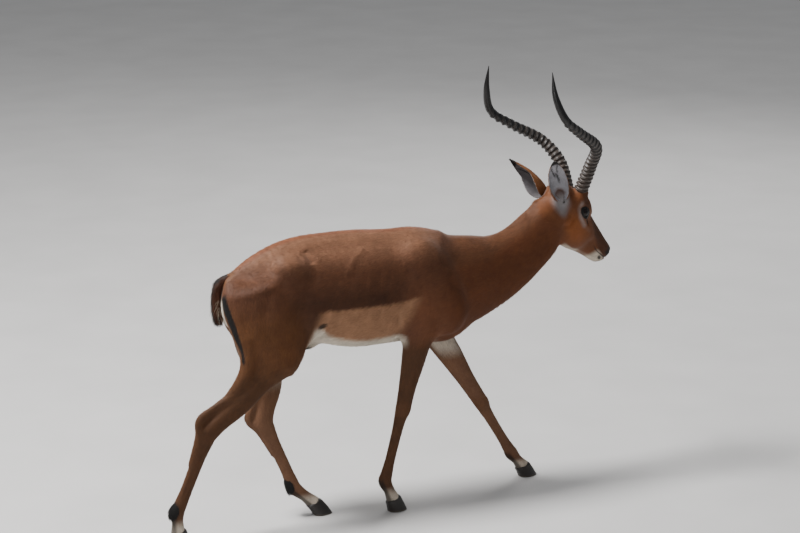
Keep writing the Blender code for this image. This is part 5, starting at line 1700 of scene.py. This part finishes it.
def eye_material():
    """Very dark brown eye with a wide, darker pupil under a wet surface."""
    nodes = Nodes("wet_eye", 0.05, 0.32)
    ahead, above, outward = (nodes.kept(name) for name in ("ahead", "above", "outward"))
    wide = nodes.math("POWER", nodes.times(ahead, 1.0 / 0.42), 2.0)
    high = nodes.math("POWER", nodes.times(above, 1.0 / 0.16), 2.0)
    pupil = nodes.plus(wide, high)
    fleck = nodes.noise(900.0, 3.0)
    iris = nodes.mix(fleck, linear(30, 17, 10), linear(14, 8, 6))
    colour = nodes.mix(nodes.math("GREATER_THAN", pupil, 1.0), linear(3, 3, 5), iris)
    rim = nodes.ramp(outward, (0.40, linear(12, 8, 7)), (0.62, (1.0, 1.0, 1.0)))
    colour = nodes.mix(1.0, colour, rim, "MULTIPLY")
    return nodes.finish(colour)


def hoof_material():
    """Black hoof wall with faint growth rings and worn, paler edges at the ground."""
    nodes = Nodes("hoof_horn", 0.42, 0.5)
    rings = nodes.noise(150.0, 4.0, (0.25, 0.25, 3.0))
    wear = nodes.noise(70.0, 5.0)
    place = nodes.tree.nodes.new("ShaderNodeTexCoord").outputs["Object"]
    height = nodes.add("SeparateXYZ", Vector=place).outputs["Z"]
    low = nodes.ramp(height, (0.0, (1.0, 1.0, 1.0)), (0.006, (0.0, 0.0, 0.0)))
    colour = nodes.mix(rings, linear(20, 17, 16), linear(46, 40, 36))
    colour = nodes.mix(nodes.times(low, nodes.times(wear, 0.9)), colour, linear(120, 108, 94))
    nodes.bump(rings, 0.0007, 0.7)
    return nodes.finish(colour, nodes.plus(nodes.times(wear, 0.35), 0.28))


# ---------------------------------------------------------------- stage, lights and camera
def make_stage():
    """A plain pale floor under plain soft light."""
    mesh = bpy.data.meshes.new("floor")
    corners = [(x * FLOOR_SIZE, y * FLOOR_SIZE, 0) for x, y in ((-1, -1), (1, -1), (1, 1), (-1, 1))]
    mesh.from_pydata(corners, [], [(0, 1, 2, 3)])
    floor = bpy.data.objects.new("floor", mesh)
    bpy.context.scene.collection.objects.link(floor)
    nodes = Nodes("pale_floor", 0.9, 0.2)
    pale = nodes.ramp(nodes.noise(3.0), (0.3, linear(196, 194, 192)), (0.7, linear(202, 200, 198)))
    mesh.materials.append(nodes.finish(pale))
    world = bpy.data.worlds.new("studio")
    world.use_nodes = True
    world.node_tree.nodes["Background"].inputs["Color"].default_value = (0.93, 0.96, 1.0, 1.0)
    world.node_tree.nodes["Background"].inputs["Strength"].default_value = WORLD_LIGHT
    bpy.context.scene.world = world
    for name, place, target, size, power in LAMPS:
        lamp = bpy.data.lights.new(name, "AREA")
        lamp.shape, lamp.size, lamp.energy = "DISK", size, power
        lit = bpy.data.objects.new(name, lamp)
        lit.location = place
        lit.rotation_euler = (Vector(target) - Vector(place)).to_track_quat("-Z", "Y").to_euler()
        bpy.context.scene.collection.objects.link(lit)


def make_camera():
    """The viewpoint: a long lens from the animal's right, a little above and behind its middle."""
    camera = bpy.data.cameras.new("camera")
    camera.sensor_width, camera.lens = SENSOR_WIDTH, CAMERA_LENS
    camera.clip_end = CAMERA_CLIP
    back = Vector(CAMERA_BACK).normalized()
    turn = math.radians(CAMERA_TURN)
    right = Vector((math.cos(turn), -math.sin(turn), 0.0))
    up = back.cross(right)
    holder = bpy.data.objects.new("camera", camera)
    axes = Matrix((right, up, back)).transposed().to_4x4()
    holder.matrix_world = Matrix.Translation(CAMERA_PLACE) @ axes
    bpy.context.scene.collection.objects.link(holder)
    bpy.context.scene.camera = holder


# ---------------------------------------------------------------- the model
def keep(piece, slot, material, *nodes):
    """Gives a piece its material, its place in the frame and the nodes that it stands for."""
    piece.data.materials.clear()
    piece.data.materials.append(material)
    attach(piece, "root")
    if nodes:
        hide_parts(*nodes)


def build():
    """Makes every piece."""
    body, vertices, triangles = make_skin()
    skin = Skin(vertices, triangles)
    painted = np.ones((len(vertices), 4))
    # the skin painted darker, as shade under the coat
    painted[:, :3] = markings(vertices, skin.normals, skin.share) * SKIN_PAINTED_SHADE
    attribute = body.data.attributes.new("coat", "FLOAT_COLOR", "POINT")
    attribute.data.foreach_set("color", painted.ravel())
    body.data.shade_smooth()
    flesh = ["trunk", "neck", "head", "tail", *EAR_WAYS]
    flesh += [f"{leg}_{length}" for leg in LEGS for length in ("upper", "lower", "pastern")]
    keep(body, "tan_coat", coat_material("skin_hair", True), *flesh)
    coat = coat_material("coat_hair", False)
    for piece in make_coat(skin):
        keep(piece, "tan_coat", coat)
    horn, eye, hoof = horn_material(), eye_material(), hoof_material()
    for side, word in SIDES:
        keep(make_horn("ringed_horn_" + word, side), "black_horn", horn, "horn_" + word)
        keep(make_eye("eyeball_" + word, side), "dark_eye", eye, "eye_" + word)
        for leg in LEGS:
            keep(make_claw(f"{leg}_hoof_{word}", leg, side), "black_hoof", hoof, f"{leg}_claw_{word}")


make_stage()
make_camera()
build()
